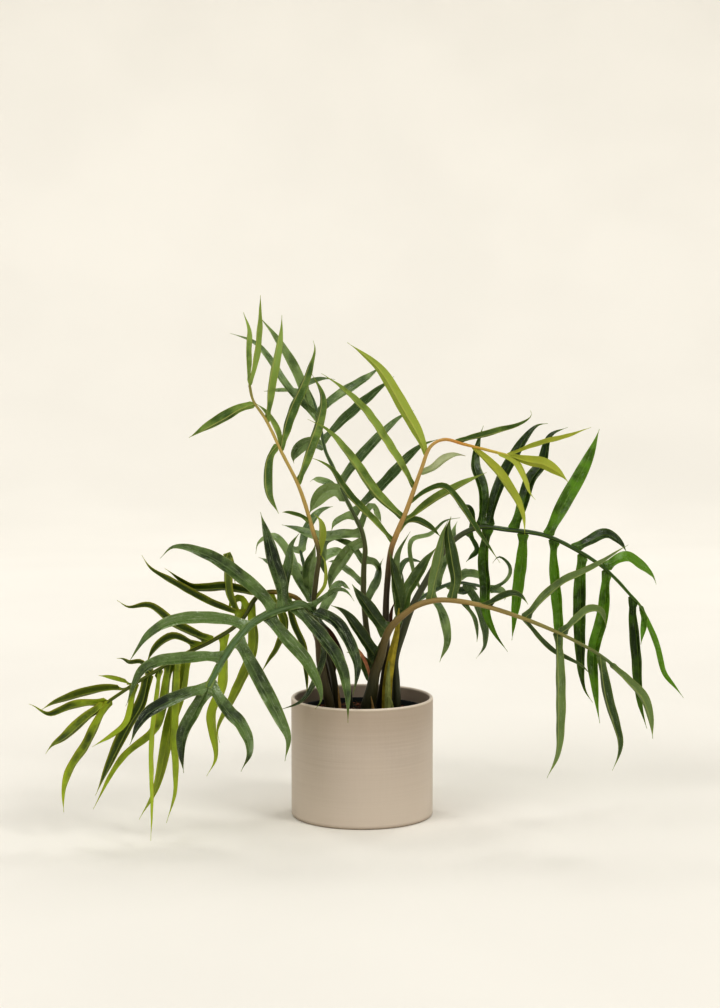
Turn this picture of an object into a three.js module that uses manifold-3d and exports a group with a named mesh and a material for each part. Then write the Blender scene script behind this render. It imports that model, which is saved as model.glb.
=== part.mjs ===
import * as THREE from 'three';
import { mergeVertices } from 'three/addons/utils/BufferGeometryUtils.js';
import Module from 'manifold-3d';

// A fern-leaf philodendron in a straight-sided planter, in millimetres, +Z up.
// The origin is the centre of the planter's underside. The photographed side faces -Y.

const wasm = await Module();
wasm.setup();

// Planter
const planterRadius = 100;
const planterHeight = 168;
const planterWall = 5;
const planterFloor = 8;
const planterFootEdge = 3;
const planterFootInset = 0.9;
const planterLipSteps = [0, 45, 90, 135, 180];
const planterFacets = 36;

// Grower's pot inside the planter
const fitGap = 0.3;
const innerPotTopRadius = 92.5;
const innerPotFootRadius = 80;
const innerPotTop = 149;
const innerPotWall = 2;
const innerPotLipReach = 1.6;
const innerPotLipDepth = 7;
const innerPotFacets = 30;
const drainHoles = 6;
const drainRadius = 5;
const drainCircle = 52;
const drainFacets = 10;

// Potting mix
const mixEdge = 141;
const mixCrown = 147;
const rootLevel = 112;
const holeClearance = 0.5;
const mixShoulders = [[0.72, 144], [0.4, 146]];
const barkChips = 12;
const barkLength = 14;
const barkSlimness = 0.55;
const barkThickness = 5;
const barkProud = 0.5;
const barkSizes = [0.6, 1.1];
const barkTilt = 0.3;
const barkSpread = 0.88;
const chipSeed = 31;

// Petioles and rachises
const stalkStations = 11;
const stalkCorners = [150, 90, 30, -30, -90, -150];
const stalkFootRadius = 0.4;

// Leaf blades: a lobe is widened from the width seen, up to a broad lobe's, because it is seen
// at a slant. The swell and flare numbers shape its width from root to tip.
const broadLobe = 17;
const slantGain = 1.5;
const bladeThickness = 1.1;
const bladeFold = 0.38;
const lobeTipWidth = 1.5;
const swellStart = 0.12;
const swellSkew = 0.85;
const swellFullness = 0.7;
const flareGain = 0.5;
const flareShare = 0.15;
const liftPower = 1.3;
const twistReach = 0.35;
const twistStep = 2.4;
const squareLimit = 0.85;
const foldedLobe = 13;
const lobeStations = {
  short: [0, 0.2, 0.6, 1],
  middling: [0, 0.14, 0.45, 0.78, 1],
  long: [0, 0.12, 0.36, 0.64, 0.86, 1],
};
const shortLobe = 90;
const longLobe = 165;

// Sheaths
const sheathThickness = 2;
const sheathFootShare = 0.7;
const sheathStations = [0, 0.3, 0.6, 0.85, 1];
const sheathTaperStart = 0.3;
const sheathTaperRun = 0.68;
const sheathFullness = 0.8;

// Colour and roughness of what isn't a frond or a sheath, and how rough those are
const planterGlaze = [0xb0a08a, 0.55];
const potPlastic = [0x24343a, 0.6];
const dampMix = [0x2d1f19, 0.95];
const leafRoughness = 0.45;
const sheathRoughness = 0.7;

// How finely lines are read, when two corners are one, and how big a loose scrap may be
const sampleCount = 160;
const weldGap = 1e-4;
const scrapVolume = 10;
const towardsViewer = new THREE.Vector3(0, -1, 0);

// The viewpoint, worked out from the planter's rim and foot. Every route below is read in
// the photograph's 720 x 1008 frame as [across, down] with a depth in mm behind the planter's
// axis, and this view turns it into a place in the part's own frame.
const view = {
  eye: new THREE.Vector3(-3, -2920, 706),
  pitch: THREE.MathUtils.degToRad(5.2),
  focal: 2094,
  centre: [360, 504],
};
const mmPerPixel = -view.eye.y / view.focal;

// lobe(width seen, how far its tip lies behind its root, its route [across, down] ...)
const lobe = (seen, lift, ...route) => ({ seen, lift, route });

// Each frond is one petiole and rachis with its lobes. The stalk is [across, down, depth],
// from the potting mix to the tip; girth is its diameter in mm, in even steps along it;
// upper is the way that the blade's upper face looks.
const fronds = [
  {
    name: 'frond_upper_left',
    colour: 0x4d6b3d,
    upper: [0.35, 0.8, 0.45],
    girth: [10, 8.5, 7, 5.5, 4.2, 3.4],
    stalk: [
      [338, 706, -6], [332, 670, -12], [325, 645, -18], [314, 612, -25], [316, 580, -29], [319, 554, -32],
      [313, 531, -36], [299, 487, -42], [281, 451, -46], [266, 420, -50], [253, 400, -54], [249, 383, -58],
    ],
    lobes: [
      lobe(6, -35, [252, 384], [256, 350], [261, 294.4]),
      lobe(6, 25, [248, 380], [247, 350], [248, 330], [244, 313]),
      lobe(10, -30, [255, 402], [240, 409], [225, 418], [188, 438]),
      lobe(8, 40, [266.5, 420.5], [270, 385], [277, 350], [284, 316]),
      lobe(9, 45, [281, 451], [289, 415], [305, 378], [315, 347], [313.5, 341]),
      lobe(9, -45, [276, 447], [268, 459], [266, 478], [268, 495], [280, 514]),
      lobe(9, 40, [298.5, 484], [308, 451], [318, 422], [322, 398], [314, 373]),
      lobe(6, 50, [283, 454], [276, 430], [258, 402]),
      lobe(5, -30, [310, 522], [304, 518], [292, 514], [281, 511]),
      lobe(6, -10, [334, 676], [336, 650], [331, 636], [324, 621]),
    ],
  },
  {
    name: 'frond_upper_middle',
    colour: 0x5a7840,
    upper: [-0.25, 0.8, 0.5],
    girth: [11, 10, 8.5, 7.5, 5.5, 4.2, 3.6],
    stalk: [
      [380, 705, -14], [386, 660, -16], [386, 605, -19], [388, 575, -22], [391, 550, -25], [395, 538, -27],
      [407, 509, -33], [421, 470, -42], [431, 446, -52], [444, 439.5, -58], [465, 444.5, -66],
      [495, 452, -76], [510, 456, -80],
    ],
    lobes: [
      lobe(11, 30, [425, 456], [423, 445], [401, 405], [379, 369], [359, 351], [348, 343]),
      lobe(8, 35, [412, 486], [387, 445], [365, 412], [338, 384.5], [324, 371]),
      lobe(9, -30, [402, 519], [377, 496], [353, 462], [328, 431], [309, 417]),
      lobe(7, -35, [392, 541], [376, 524], [348, 495], [331, 469], [313, 453]),
      lobe(6, -45, [413, 504], [424, 493], [442, 487], [451, 493], [480, 535], [501, 563]),
      lobe(8, 30, [403.5, 522.6], [414, 515], [430, 503], [452, 490], [486, 472]),
      lobe(9, 20, [423, 474], [434, 468], [445, 460], [464, 452]),
      lobe(7, 40, [396, 537], [408, 522], [417, 521], [427, 526], [441.5, 536]),
      lobe(8, -25, [474, 447], [484, 458], [500, 476], [521, 511], [526, 535]),
      lobe(6, -40, [498, 453], [517, 462], [526.5, 480], [531, 501]),
      lobe(11, -20, [510, 456], [531, 462], [543, 464], [570, 480]),
      lobe(6, 45, [456.5, 441], [490, 434], [523, 423], [530.5, 415], [529, 411.5]),
      lobe(5, 40, [508, 454], [543, 443], [569, 436], [589, 427]),
      lobe(5, 18, [386, 652], [391, 625], [393, 600]),
    ],
  },
  {
    name: 'frond_back_middle',
    colour: 0x35553c,
    upper: [0.1, -0.8, 0.55],
    girth: [9, 8.5, 8, 7.5, 6, 5, 4, 3],
    stalk: [
      [372, 703, 16], [370, 655, 24], [366, 625, 30], [363.5, 595, 36], [364, 564, 42], [365, 548, 46],
      [361, 530, 52], [353, 513, 58], [344, 495, 64], [334, 470, 74], [325, 450, 84], [320, 425, 96],
      [315, 405, 106], [308, 390, 114],
    ],
    lobes: [
      lobe(8, 60, [320, 414], [334.5, 400], [365, 380], [383, 364.5]),
      lobe(8, -45, [328, 440], [345, 420], [382, 387], [393, 377]),
      lobe(8, 70, [339, 484], [365, 454], [401, 417], [414, 408]),
      lobe(8, -25, [357, 513], [383, 486], [419, 447.5], [436, 437]),
      lobe(6, 20, [313, 418], [306, 402], [306, 386], [334.5, 376]),
      lobe(6, 60, [312, 422], [289, 390], [258, 346], [231, 331]),
      lobe(8, -50, [312, 409], [308, 400], [291.5, 366], [261, 316]),
      lobe(4, 40, [308, 390], [300, 375], [286, 350]),
      lobe(4, 30, [309, 393], [293, 391], [263, 391]),
      lobe(14, 30, [345, 500], [337, 490], [325, 492], [308, 513]),
      lobe(6, 60, [342, 494], [326, 483], [310, 477]),
      lobe(12, 45, [325, 447], [312, 442], [300, 448], [290, 463]),
      lobe(8, 50, [363, 531], [345, 536], [319, 537.5], [296, 529], [282, 523]),
      lobe(7, -18, [356, 515], [349, 516], [338, 522], [330, 528]),
      lobe(11, 40, [364, 540], [352, 548], [342, 561], [334, 573], [327, 592]),
      lobe(8, 90, [361, 534], [343, 535], [328, 541], [324, 556], [326.5, 583]),
      lobe(6, 40, [361, 526], [371, 507], [377, 514], [383, 524]),
      lobe(6, 30, [364, 562], [350, 546], [333, 538]),
      lobe(6, 60, [364, 560], [372, 562], [381, 572]),
      lobe(5, 80, [363.5, 582], [350, 573], [336, 563], [326, 560]),
      lobe(7, 75, [364, 604], [371, 594], [378, 582], [381, 558]),
    ],
  },
  {
    name: 'frond_right_back',
    colour: 0x3f6b2c,
    upper: [-0.1, -0.55, 0.8],
    girth: [11, 10.5, 9.5, 8, 6.5, 5.5, 4.5, 3.5],
    stalk: [
      [397, 705, 0], [396, 680, 4], [395, 660, 8], [403, 632, 16], [413, 605, 26], [428, 578, 36],
      [440, 557, 44], [453, 541, 52], [468, 531, 60], [482, 527, 66], [505, 529.5, 76], [545, 535.5, 92],
      [576, 550, 104], [605, 569, 114], [632, 597, 122], [640, 606, 124],
    ],
    lobes: [
      lobe(9, 50, [482, 524], [481.6, 490], [474, 465], [477, 444], [484, 425]),
      lobe(9, 70, [488.6, 524], [497, 496], [508, 469], [536, 425.6], [547.5, 420]),
      lobe(10, 75, [514, 528], [521, 512], [531.5, 480], [543, 464], [550, 437], [567, 424.6]),
      lobe(12, 80, [549, 532.5], [566, 500], [580, 475], [591, 452], [600, 428.6]),
      lobe(8, 60, [575, 548], [589, 542], [606, 535], [621, 544], [628, 553]),
      lobe(8, 60, [605, 568], [617.6, 560], [627, 558], [640.5, 566], [659.5, 581]),
      lobe(5, 30, [474, 529], [469, 508], [461, 503]),
      lobe(5, 40, [468, 531], [475.5, 550], [471, 556], [468, 562]),
      lobe(9, -50, [488.6, 529], [485, 560], [487, 583], [488, 612], [504, 653]),
      lobe(9, -30, [521, 534], [523.5, 550], [520, 583], [512, 640]),
      lobe(9, -55, [553.5, 538], [556, 566], [560, 620], [561, 676]),
      lobe(10, -35, [582, 556], [581, 580], [581, 636], [584, 690], [589, 704]),
      lobe(10, -60, [606, 574], [604.5, 612], [594, 655], [596, 690], [598, 723]),
      lobe(8, -25, [634, 598], [638, 655], [640, 693], [644, 729]),
      lobe(6, 30, [640, 606], [655.5, 647], [663, 673], [685, 697]),
      lobe(5, -60, [637, 602], [645, 618], [641, 643]),
    ],
  },
  {
    name: 'frond_right_front',
    colour: 0x4a7040,
    upper: [0.1, 0.7, 0.7],
    girth: [20, 13, 9.5, 7.5, 6.5, 5.5, 4.5, 4],
    stalk: [
      [368, 706, -36], [372, 689, -40], [375, 673, -44], [381, 656, -48], [385, 640, -52], [391, 627, -57],
      [406, 613, -64], [418, 605, -70], [440, 600, -78], [480, 605, -92], [525, 619, -108],
      [565, 636, -122], [600, 655, -134], [615, 667, -138],
    ],
    lobes: [
      lobe(10, -35, [431, 599], [434, 583], [439, 563], [446, 520]),
      lobe(11, -30, [452, 601], [455, 580], [452, 560], [448, 530], [450, 515]),
      lobe(8, -40, [484, 603], [498, 600], [514, 595], [530, 602]),
      lobe(8, 40, [525, 619], [558.6, 586], [597, 566], [626, 544]),
      lobe(9, 35, [560, 635], [575, 622], [589, 611], [599, 611], [608, 625]),
      lobe(8, -40, [556.5, 634], [558.6, 678], [559, 720], [557, 755], [547, 778.5]),
      lobe(8, -30, [601, 656], [606, 696.5], [615, 727], [619, 741], [618, 771]),
      lobe(8, -25, [611, 662], [627, 681], [643, 699], [655, 738]),
      lobe(5, 35, [522, 620], [540, 640], [553, 652], [578, 664], [594, 673]),
      lobe(4, -25, [463, 604], [474, 619], [478, 643]),
      lobe(3.5, -12, [372, 686], [363, 659], [351, 643], [343, 627], [333, 615]),
    ],
  },
  {
    name: 'frond_left_front',
    colour: 0x2f5a3a,
    upper: [0.05, -0.75, 0.65],
    girth: [13, 12, 10.5, 9, 8, 7, 6.5, 5.5],
    stalk: [
      [330, 705, -26], [321, 665, -33], [318.5, 640, -41], [315, 620, -51], [304, 606, -64], [288, 608, -80],
      [264, 617, -104], [249, 627, -122], [228, 652, -150], [213, 678, -172], [208, 688, -180],
    ],
    lobes: [
      lobe(10, -50, [310, 606], [334, 622], [348.5, 644], [356, 666], [354.4, 695]),
      lobe(10, -48, [294, 607], [321, 637], [340, 666], [350.7, 722]),
      lobe(10, -20, [268, 616], [284, 637], [306, 663], [322, 700], [319, 711]),
      lobe(10, -30, [275, 612], [261, 595], [241, 578], [210, 557], [174, 547], [160, 558]),
      lobe(9, -45, [249, 627], [227, 621], [178, 621], [153.5, 632], [127, 661]),
      lobe(9, -35, [224, 657], [194, 659], [147, 668], [125, 706]),
      lobe(11, -30, [238, 640], [250.5, 664], [280, 720], [288, 739], [284, 761]),
      lobe(9, -40, [208, 687], [188, 694], [147, 715], [128, 744]),
      lobe(11, -25, [208, 688], [194, 714], [184, 734], [182, 773]),
      lobe(9, -50, [210, 684], [226, 710], [241, 727], [249, 750], [242.5, 771]),
      lobe(11.5, 25, [282, 609], [281, 588], [273, 561], [267.6, 538], [260, 512]),
      lobe(9, 30, [286, 608], [287, 588], [291, 561], [292, 546], [296.7, 532]),
      lobe(4, -14, [309, 607], [323, 599], [340, 590], [356, 598]),
      lobe(5, -16, [309, 607], [321, 630], [325, 652], [317, 678], [302, 701], [279, 709.5]),
    ],
  },
  {
    name: 'frond_left',
    colour: 0x66802a,
    upper: [0.1, 0.55, 0.8],
    girth: [10, 8.5, 7, 6, 5.5, 4.5, 4],
    stalk: [
      [333, 704, 16], [322, 655, 8], [310, 620, -2], [299, 600, -13], [285, 594, -26], [270, 592, -40],
      [258, 596, -52], [240, 622, -70], [211, 641.5, -90], [189, 652, -100], [154.5, 672, -116],
      [133, 685, -128], [105, 704, -142],
    ],
    lobes: [
      lobe(9, -20, [262, 594], [248, 592], [226, 588], [191, 587.6], [166, 567]),
      lobe(8, -10, [244, 616], [210, 604], [172, 583], [150, 568], [142, 555]),
      lobe(9, 20, [211, 641.5], [172, 624], [150, 607], [128.5, 607], [119, 599]),
      lobe(8, 15, [200, 647], [172, 638], [154.5, 650], [146, 661]),
      lobe(5, 40, [150, 675], [141.5, 663], [128.5, 663], [120, 654.5]),
      lobe(5, 40, [135, 684], [113, 679], [100, 675]),
      lobe(9, 20, [128.5, 688], [96, 691], [63, 700], [40.6, 706.5]),
      lobe(8, -20, [107, 703], [74, 706.5], [48, 715], [32, 701]),
      lobe(10, -45, [105, 704], [85, 720], [63, 739], [43, 749]),
      lobe(8, -25, [112, 700], [102, 715], [87, 746], [70, 772], [59, 811]),
      lobe(10, -60, [150, 676], [141.5, 704], [128.5, 726], [95, 795.5]),
      lobe(6, -45, [136, 684], [128, 722], [111, 737], [90.5, 746]),
      lobe(8, -50, [172, 662], [158, 728], [124, 759], [92, 808.5]),
      lobe(12, -45, [187, 653], [180, 694], [171.5, 720], [155, 791], [137, 818]),
      lobe(8, -70, [176, 660], [172, 730], [174, 791], [167.5, 824]),
      lobe(5, -115, [160, 670], [150, 740], [151, 802], [152.3, 842]),
      lobe(9, -25, [226, 634], [224, 687], [213, 714], [216, 758], [205, 775]),
      lobe(9, -10, [250, 606], [254, 648], [234, 697], [217, 730], [218, 743]),
      lobe(7, 15, [268, 592], [286, 622], [279, 646.5], [259, 673]),
      lobe(9, 45, [240, 618], [228, 596], [226, 572], [228, 554], [233, 566], [234, 585]),
      lobe(9, 30, [246, 612], [240, 600], [228, 608]),
      lobe(7, -24, [285, 594], [291, 622], [301, 646], [304, 668], [309, 698]),
    ],
  },
  {
    name: 'frond_back_left',
    colour: 0x3a5a44,
    upper: [0, -0.7, 0.7],
    girth: [9, 8, 6.5, 5, 4],
    stalk: [
      [350, 702, 36], [344, 665, 54], [334, 638, 72], [318, 618, 96], [309, 590, 126], [303, 562, 154],
      [300, 550, 166],
    ],
    lobes: [
      lobe(8, 60, [313, 602], [297, 580], [288, 555], [273, 537], [258, 543], [253, 553]),
      lobe(6, 70, [306, 575], [283, 570], [258, 556]),
      lobe(7, 90, [311, 598], [304, 584], [295, 557]),
      lobe(12, -30, [310, 595], [309, 570], [316, 545]),
      lobe(5, 40, [300, 550], [295, 549.7], [284, 546]),
      lobe(9, 90, [318, 618], [330, 600], [340, 585], [352, 590]),
      lobe(9, 60, [306, 580], [322, 560], [338, 552], [350, 560]),
      lobe(8, 60, [301, 552], [308, 530], [320, 512], [334, 505]),
    ],
  },
  {
    name: 'frond_back_right',
    colour: 0x44665a,
    upper: [0, -0.6, 0.8],
    girth: [9, 8, 6.5, 5.5, 4.5, 4],
    stalk: [
      [390, 704, 28], [392, 660, 40], [400, 630, 58], [415, 604, 82], [436, 590, 108], [455, 583, 130],
      [475, 585, 150], [492, 590, 166],
    ],
    lobes: [
      lobe(8, -10, [455, 583], [466, 575], [479, 577], [486, 587]),
      lobe(7, 60, [448, 586], [460, 592], [472, 588], [480, 590]),
      lobe(4, 70, [455, 583], [464, 572], [472, 570]),
      lobe(4, 15, [490, 590], [504, 581], [509, 573], [508, 565], [499, 557], [491, 561]),
      lobe(7, 40, [488, 589], [500, 591], [508, 598]),
      lobe(8, -25, [400, 630], [395, 600], [394, 566], [399, 549], [411, 533]),
      lobe(4, 30, [424, 597], [414, 570], [412, 541], [431, 534], [445, 521], [461, 517]),
      lobe(6, 90, [410, 612], [400, 580], [406, 562], [427, 562]),
      lobe(5, 60, [404, 622], [401, 590], [404, 570]),
      lobe(10, 80, [436, 590], [444, 560], [452, 540], [455, 520]),
      lobe(9, 90, [465, 583], [478, 610], [484, 640], [480, 660]),
      lobe(9, -20, [430, 593], [440, 612], [446, 640], [440, 662]),
    ],
  },
  {
    name: 'frond_short',
    colour: 0x47703a,
    upper: [-0.1, -0.75, 0.65],
    girth: [8, 7, 6, 5, 4.5],
    stalk: [[368, 702, -12], [372, 678, -18], [378, 655, -26], [388, 632, -29], [403, 610, -34]],
    lobes: [
      lobe(9, -8, [373, 675], [360, 662], [350, 650]),
      lobe(9, -8, [377, 658], [369, 648], [343, 612], [333, 603]),
      lobe(10, 12, [388, 632], [381, 626], [360, 597], [352, 584]),
      lobe(9, -12, [402, 611], [397, 591], [393, 575], [390, 551]),
      lobe(9, -8, [403, 610], [409, 591], [417, 578], [436, 546]),
    ],
  },
];

// Sheaths and shoots that stand by themselves in the potting mix: route [across, down, depth]
const sheaths = [
  { name: 'sheath_tall', colour: 0x9a9138, width: 13,
    route: [[385.5, 704, -31], [386, 680, -32], [388, 655, -36], [394, 632, -40], [398, 608, -47]] },
  { name: 'sheath_short', colour: 0x8f9a55, width: 11,
    route: [[388, 705, -46], [388, 682, -47], [389, 661, -49]] },
  { name: 'sheath_dry', colour: 0xa98a55, width: 5,
    route: [[340, 707, -46], [339, 698, -47], [338, 686, -48]] },
  { name: 'sheath_pale', colour: 0xb79d6c, width: 6,
    route: [[373, 708, -56], [372, 702, -57], [371, 696, -58]] },
  { name: 'sprout', colour: 0x9fb466, width: 4,
    route: [[393, 707, -62], [391, 700, -63], [388, 696, -64], [385, 699, -65]] },
];

function place(across, down, depth) {
  const side = (across - view.centre[0]) / view.focal;
  const rise = (view.centre[1] - down) / view.focal;
  const run = (depth - view.eye.y) / (Math.cos(view.pitch) + Math.sin(view.pitch) * rise);
  const climb = Math.cos(view.pitch) * rise - Math.sin(view.pitch);
  return new THREE.Vector3(view.eye.x + run * side, depth, view.eye.z + run * climb);
}

// A smooth line through readings, as places in the part's frame
function trace(readings) {
  const curve = new THREE.CatmullRomCurve3(readings.map((reading) => new THREE.Vector3(...reading)));
  const read = curve.getSpacedPoints(sampleCount);
  return new THREE.CatmullRomCurve3(read.map((point) => place(point.x, point.y, point.z)));
}

// Where a place shows in the photograph, with its depth: the reverse of place()
function read(spot) {
  const away = spot.clone().sub(view.eye);
  const run = away.y * Math.cos(view.pitch) - away.z * Math.sin(view.pitch);
  const climb = away.y * Math.sin(view.pitch) + away.z * Math.cos(view.pitch);
  return [
    view.centre[0] + (view.focal * away.x) / run,
    view.centre[1] - (view.focal * climb) / run,
    spot.y,
  ];
}

function squareTo(vector, axis) {
  return vector.clone().addScaledVector(axis, -vector.dot(axis)).normalize();
}

// A section's corners run along the upper face and then back along the lower one, and both
// faces are split into triangles alike.
function loft(sections) {
  const corners = sections[0].length;
  const faces = [];
  for (let row = 0; row < sections.length - 1; row += 1) {
    for (let corner = 0; corner < corners; corner += 1) {
      const here = row * corners + corner;
      const beside = row * corners + ((corner + 1) % corners);
      const ahead = here + corners;
      const across = beside + corners;
      if (corner < corners / 2) {
        faces.push(here, beside, across, here, across, ahead);
      } else {
        faces.push(here, beside, ahead, beside, across, ahead);
      }
    }
  }
  const end = (sections.length - 1) * corners;
  for (let corner = 0; corner < corners / 2 - 1; corner += 1) {
    const under = corners - 1 - corner;
    for (const [first, second, third] of [[corner, corner + 1, under - 1], [corner, under - 1, under]]) {
      faces.push(third, second, first, end + first, end + second, end + third);
    }
  }
  const geometry = new THREE.BufferGeometry();
  const positions = sections.flat().flatMap((corner) => corner.toArray());
  geometry.setAttribute('position', new THREE.Float32BufferAttribute(positions, 3));
  geometry.setIndex(faces);
  return geometry;
}

// A solid's volume is negative where its faces look inwards, and it is then turned round.
function solidOf(geometry) {
  const bare = geometry.clone();
  bare.deleteAttribute('normal');
  bare.deleteAttribute('uv');
  const merged = mergeVertices(bare, weldGap);
  const positions = merged.attributes.position;
  const index = merged.index.array;
  const corner = [new THREE.Vector3(), new THREE.Vector3(), new THREE.Vector3()];
  const triangles = [];
  let volume = 0;
  for (let face = 0; face < index.length; face += 3) {
    const triangle = [index[face], index[face + 1], index[face + 2]];
    if (new Set(triangle).size === 3) {
      triangle.forEach((vertex, turn) => corner[turn].fromBufferAttribute(positions, vertex));
      volume += corner[0].dot(corner[1].clone().cross(corner[2]));
      triangles.push(...triangle);
    }
  }
  if (volume < 0) {
    triangles.reverse();
  }
  return new wasm.Manifold(new wasm.Mesh({
    numProp: 3,
    vertProperties: Float32Array.from(positions.array),
    triVerts: Uint32Array.from(triangles),
  }));
}

// Fusing can seal a small hollow or leave a loose scrap: only the body's own skin is kept.
function geometryOf(solid) {
  const bodies = solid.decompose();
  const whole = bodies.reduce((best, body) => (body.volume() > best.volume() ? body : best));
  if (bodies.some((body) => body !== whole && body.volume() > scrapVolume)) {
    throw new Error('a piece of this solid has come loose');
  }
  const mesh = whole.getMesh();
  const geometry = new THREE.BufferGeometry();
  geometry.setAttribute('position', new THREE.Float32BufferAttribute(mesh.vertProperties, 3));
  geometry.setIndex(Array.from(mesh.triVerts));
  geometry.computeVertexNormals();
  return geometry;
}

// The value at a share of the way along values that stand in even steps
function stepped(values, share) {
  const spot = share * (values.length - 1);
  const step = Math.min(Math.floor(spot), values.length - 2);
  return THREE.MathUtils.lerp(values[step], values[step + 1], spot - step);
}

function stalkSection(centre, tangent, upper, radius) {
  const face = squareTo(upper, tangent);
  const side = tangent.clone().cross(face);
  return stalkCorners.map((degrees) => {
    const angle = THREE.MathUtils.degToRad(degrees);
    return centre.clone()
      .addScaledVector(side, radius * Math.cos(angle))
      .addScaledVector(face, radius * Math.sin(angle));
  });
}

// A broad blade is folded up along its midrib, and a narrow one is flat.
function bladeSection(centre, side, face, width, thickness, folded) {
  const fold = folded ? bladeFold : 0;
  const reach = (width / 2) * Math.cos(fold);
  const rise = (width / 2) * Math.sin(fold);
  const edges = [[-reach, rise], [reach, rise]];
  const spine = folded ? [edges[0], [0, 0], edges[1]] : edges;
  const lay = (half) => spine.map(([across, up]) => centre.clone()
    .addScaledVector(side, across)
    .addScaledVector(face, up + half));
  return [...lay(thickness / 2), ...lay(-thickness / 2).reverse()];
}

// The stalk stands straight in its hole below the potting mix and then follows its readings.
function stalkSolid(line, upper, girth, spare) {
  const sections = [];
  const foot = line.getPointAt(0).setZ(rootLevel - spare);
  const footRadius = girth[0] * stalkFootRadius + spare;
  sections.push(stalkSection(foot, new THREE.Vector3(0, 0, 1), upper, footRadius));
  for (let station = 0; station <= stalkStations; station += 1) {
    const share = station / stalkStations;
    const radius = stepped(girth, share) / 2 + spare;
    sections.push(stalkSection(line.getPointAt(share), line.getTangentAt(share), upper, radius));
  }
  return solidOf(loft(sections));
}

// The spot on the faceted stalk's axis that lies nearest to a reading in the photograph
function rootOn(line, [across, down]) {
  let root = { away: Infinity };
  for (let sample = 0; sample < sampleCount - 2; sample += 1) {
    const station = Math.min(Math.floor((sample / sampleCount) * stalkStations), stalkStations - 1);
    const from = line.getPointAt(station / stalkStations);
    const to = line.getPointAt((station + 1) / stalkStations);
    const spot = from.clone().lerp(to, (sample / sampleCount) * stalkStations - station);
    const reading = read(spot);
    const away = Math.hypot(reading[0] - across, reading[1] - down);
    if (away < root.away) {
      root = { away, reading, rachis: to.clone().sub(from).normalize() };
    }
  }
  return root;
}

// A lobe is strap-shaped: narrow above its flared root, widest before the middle, with a long tip.
function lobeWidth(width, share) {
  const arch = Math.sin(Math.PI * THREE.MathUtils.lerp(swellStart, 1, share) ** swellSkew);
  const swell = Math.max(0, arch) ** swellFullness;
  const flare = flareGain * Math.max(0, 1 - share / flareShare) ** 2;
  return Math.max(lobeTipWidth, width * (swell + flare));
}

// The blade is rolled about its own axis until it shows the width that the photograph has,
// to the side nearest to the way that the frond's upper face looks.
function rollOf(tangent, upper, shown) {
  const toViewer = squareTo(towardsViewer, tangent);
  const across = tangent.clone().cross(toViewer);
  const lean = Math.atan2(upper.dot(across), upper.dot(toViewer));
  const opening = Math.acos(shown);
  const rolls = [opening, -opening, Math.PI - opening, opening - Math.PI];
  const apart = (roll) => Math.abs(Math.atan2(Math.sin(roll - lean), Math.cos(roll - lean)));
  return rolls.reduce((best, roll) => (apart(roll) < apart(best) ? roll : best));
}

function lobeSolid(frond, stalk, { seen, lift, route }, index) {
  const { reading, rachis } = rootOn(stalk, route[0]);
  const lengths = [0];
  for (let step = 1; step < route.length; step += 1) {
    const span = Math.hypot(route[step][0] - route[step - 1][0], route[step][1] - route[step - 1][1]);
    lengths.push(lengths[step - 1] + span);
  }
  const readings = route.map(([across, down], step) => {
    const share = lengths[step] / lengths[route.length - 1];
    return [across, down, reading[2] + lift * share ** liftPower];
  });
  readings[0] = reading;
  const line = trace(readings);
  const shownWidth = seen * mmPerPixel;
  const width = Math.max(shownWidth, Math.min(broadLobe, slantGain * shownWidth));
  const upper = new THREE.Vector3(...frond.upper).normalize();
  const roll = rollOf(line.getTangentAt(0.5), upper, shownWidth / width);
  const twist = twistReach * Math.sin(twistStep * index);
  const length = line.getLength();
  const fit = length < shortLobe ? 'short' : 'middling';
  const stations = lobeStations[length > longLobe ? 'long' : fit];
  const folded = width > foldedLobe;
  const sections = stations.map((share) => {
    const tangent = line.getTangentAt(share);
    const toViewer = squareTo(towardsViewer, tangent);
    const face = toViewer.applyAxisAngle(tangent, roll + twist * (share - 0.5));
    const side = tangent.clone().cross(face);
    const blend = THREE.MathUtils.smoothstep(share, 0, flareShare);
    if (Math.abs(rachis.dot(tangent)) < squareLimit) {
      const along = rachis.clone().multiplyScalar(rachis.dot(side) < 0 ? -1 : 1);
      side.multiplyScalar(blend).addScaledVector(along, 1 - blend).normalize();
      face.copy(squareTo(face, side));
    }
    const wide = lobeWidth(width, share);
    return bladeSection(line.getPointAt(share), side, face, wide, bladeThickness, folded);
  });
  return solidOf(loft(sections));
}

// A sheath is a pointed blade folded round towards the stalks behind it.
function sheathSolid({ width, route }, spare) {
  const line = trace(route);
  const thickness = sheathThickness + 2 * spare;
  const lay = (centre, tangent, wide) => {
    const front = squareTo(towardsViewer, tangent);
    return bladeSection(centre, front.clone().cross(tangent), front, wide + 2 * spare, thickness, true);
  };
  const foot = line.getPointAt(0).setZ(rootLevel - spare);
  const sections = [lay(foot, new THREE.Vector3(0, 0, 1), width * sheathFootShare)];
  for (const share of sheathStations) {
    const taper = Math.sin(Math.PI * (sheathTaperStart + sheathTaperRun * share)) ** sheathFullness;
    const wide = Math.max(lobeTipWidth, width * taper);
    sections.push(lay(line.getPointAt(share), line.getTangentAt(share), wide));
  }
  return solidOf(loft(sections));
}

function turned(profile, facets) {
  const points = profile.map(([radius, height]) => new THREE.Vector2(radius, height));
  const geometry = new THREE.LatheGeometry(points, facets);
  geometry.rotateX(Math.PI / 2);
  return geometry;
}

const parts = new THREE.Group();

function addPart(name, geometry, [colour, roughness]) {
  const material = new THREE.MeshStandardMaterial({ color: colour, roughness, metalness: 0 });
  const mesh = new THREE.Mesh(geometry, material);
  mesh.name = name;
  parts.add(mesh);
}

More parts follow.
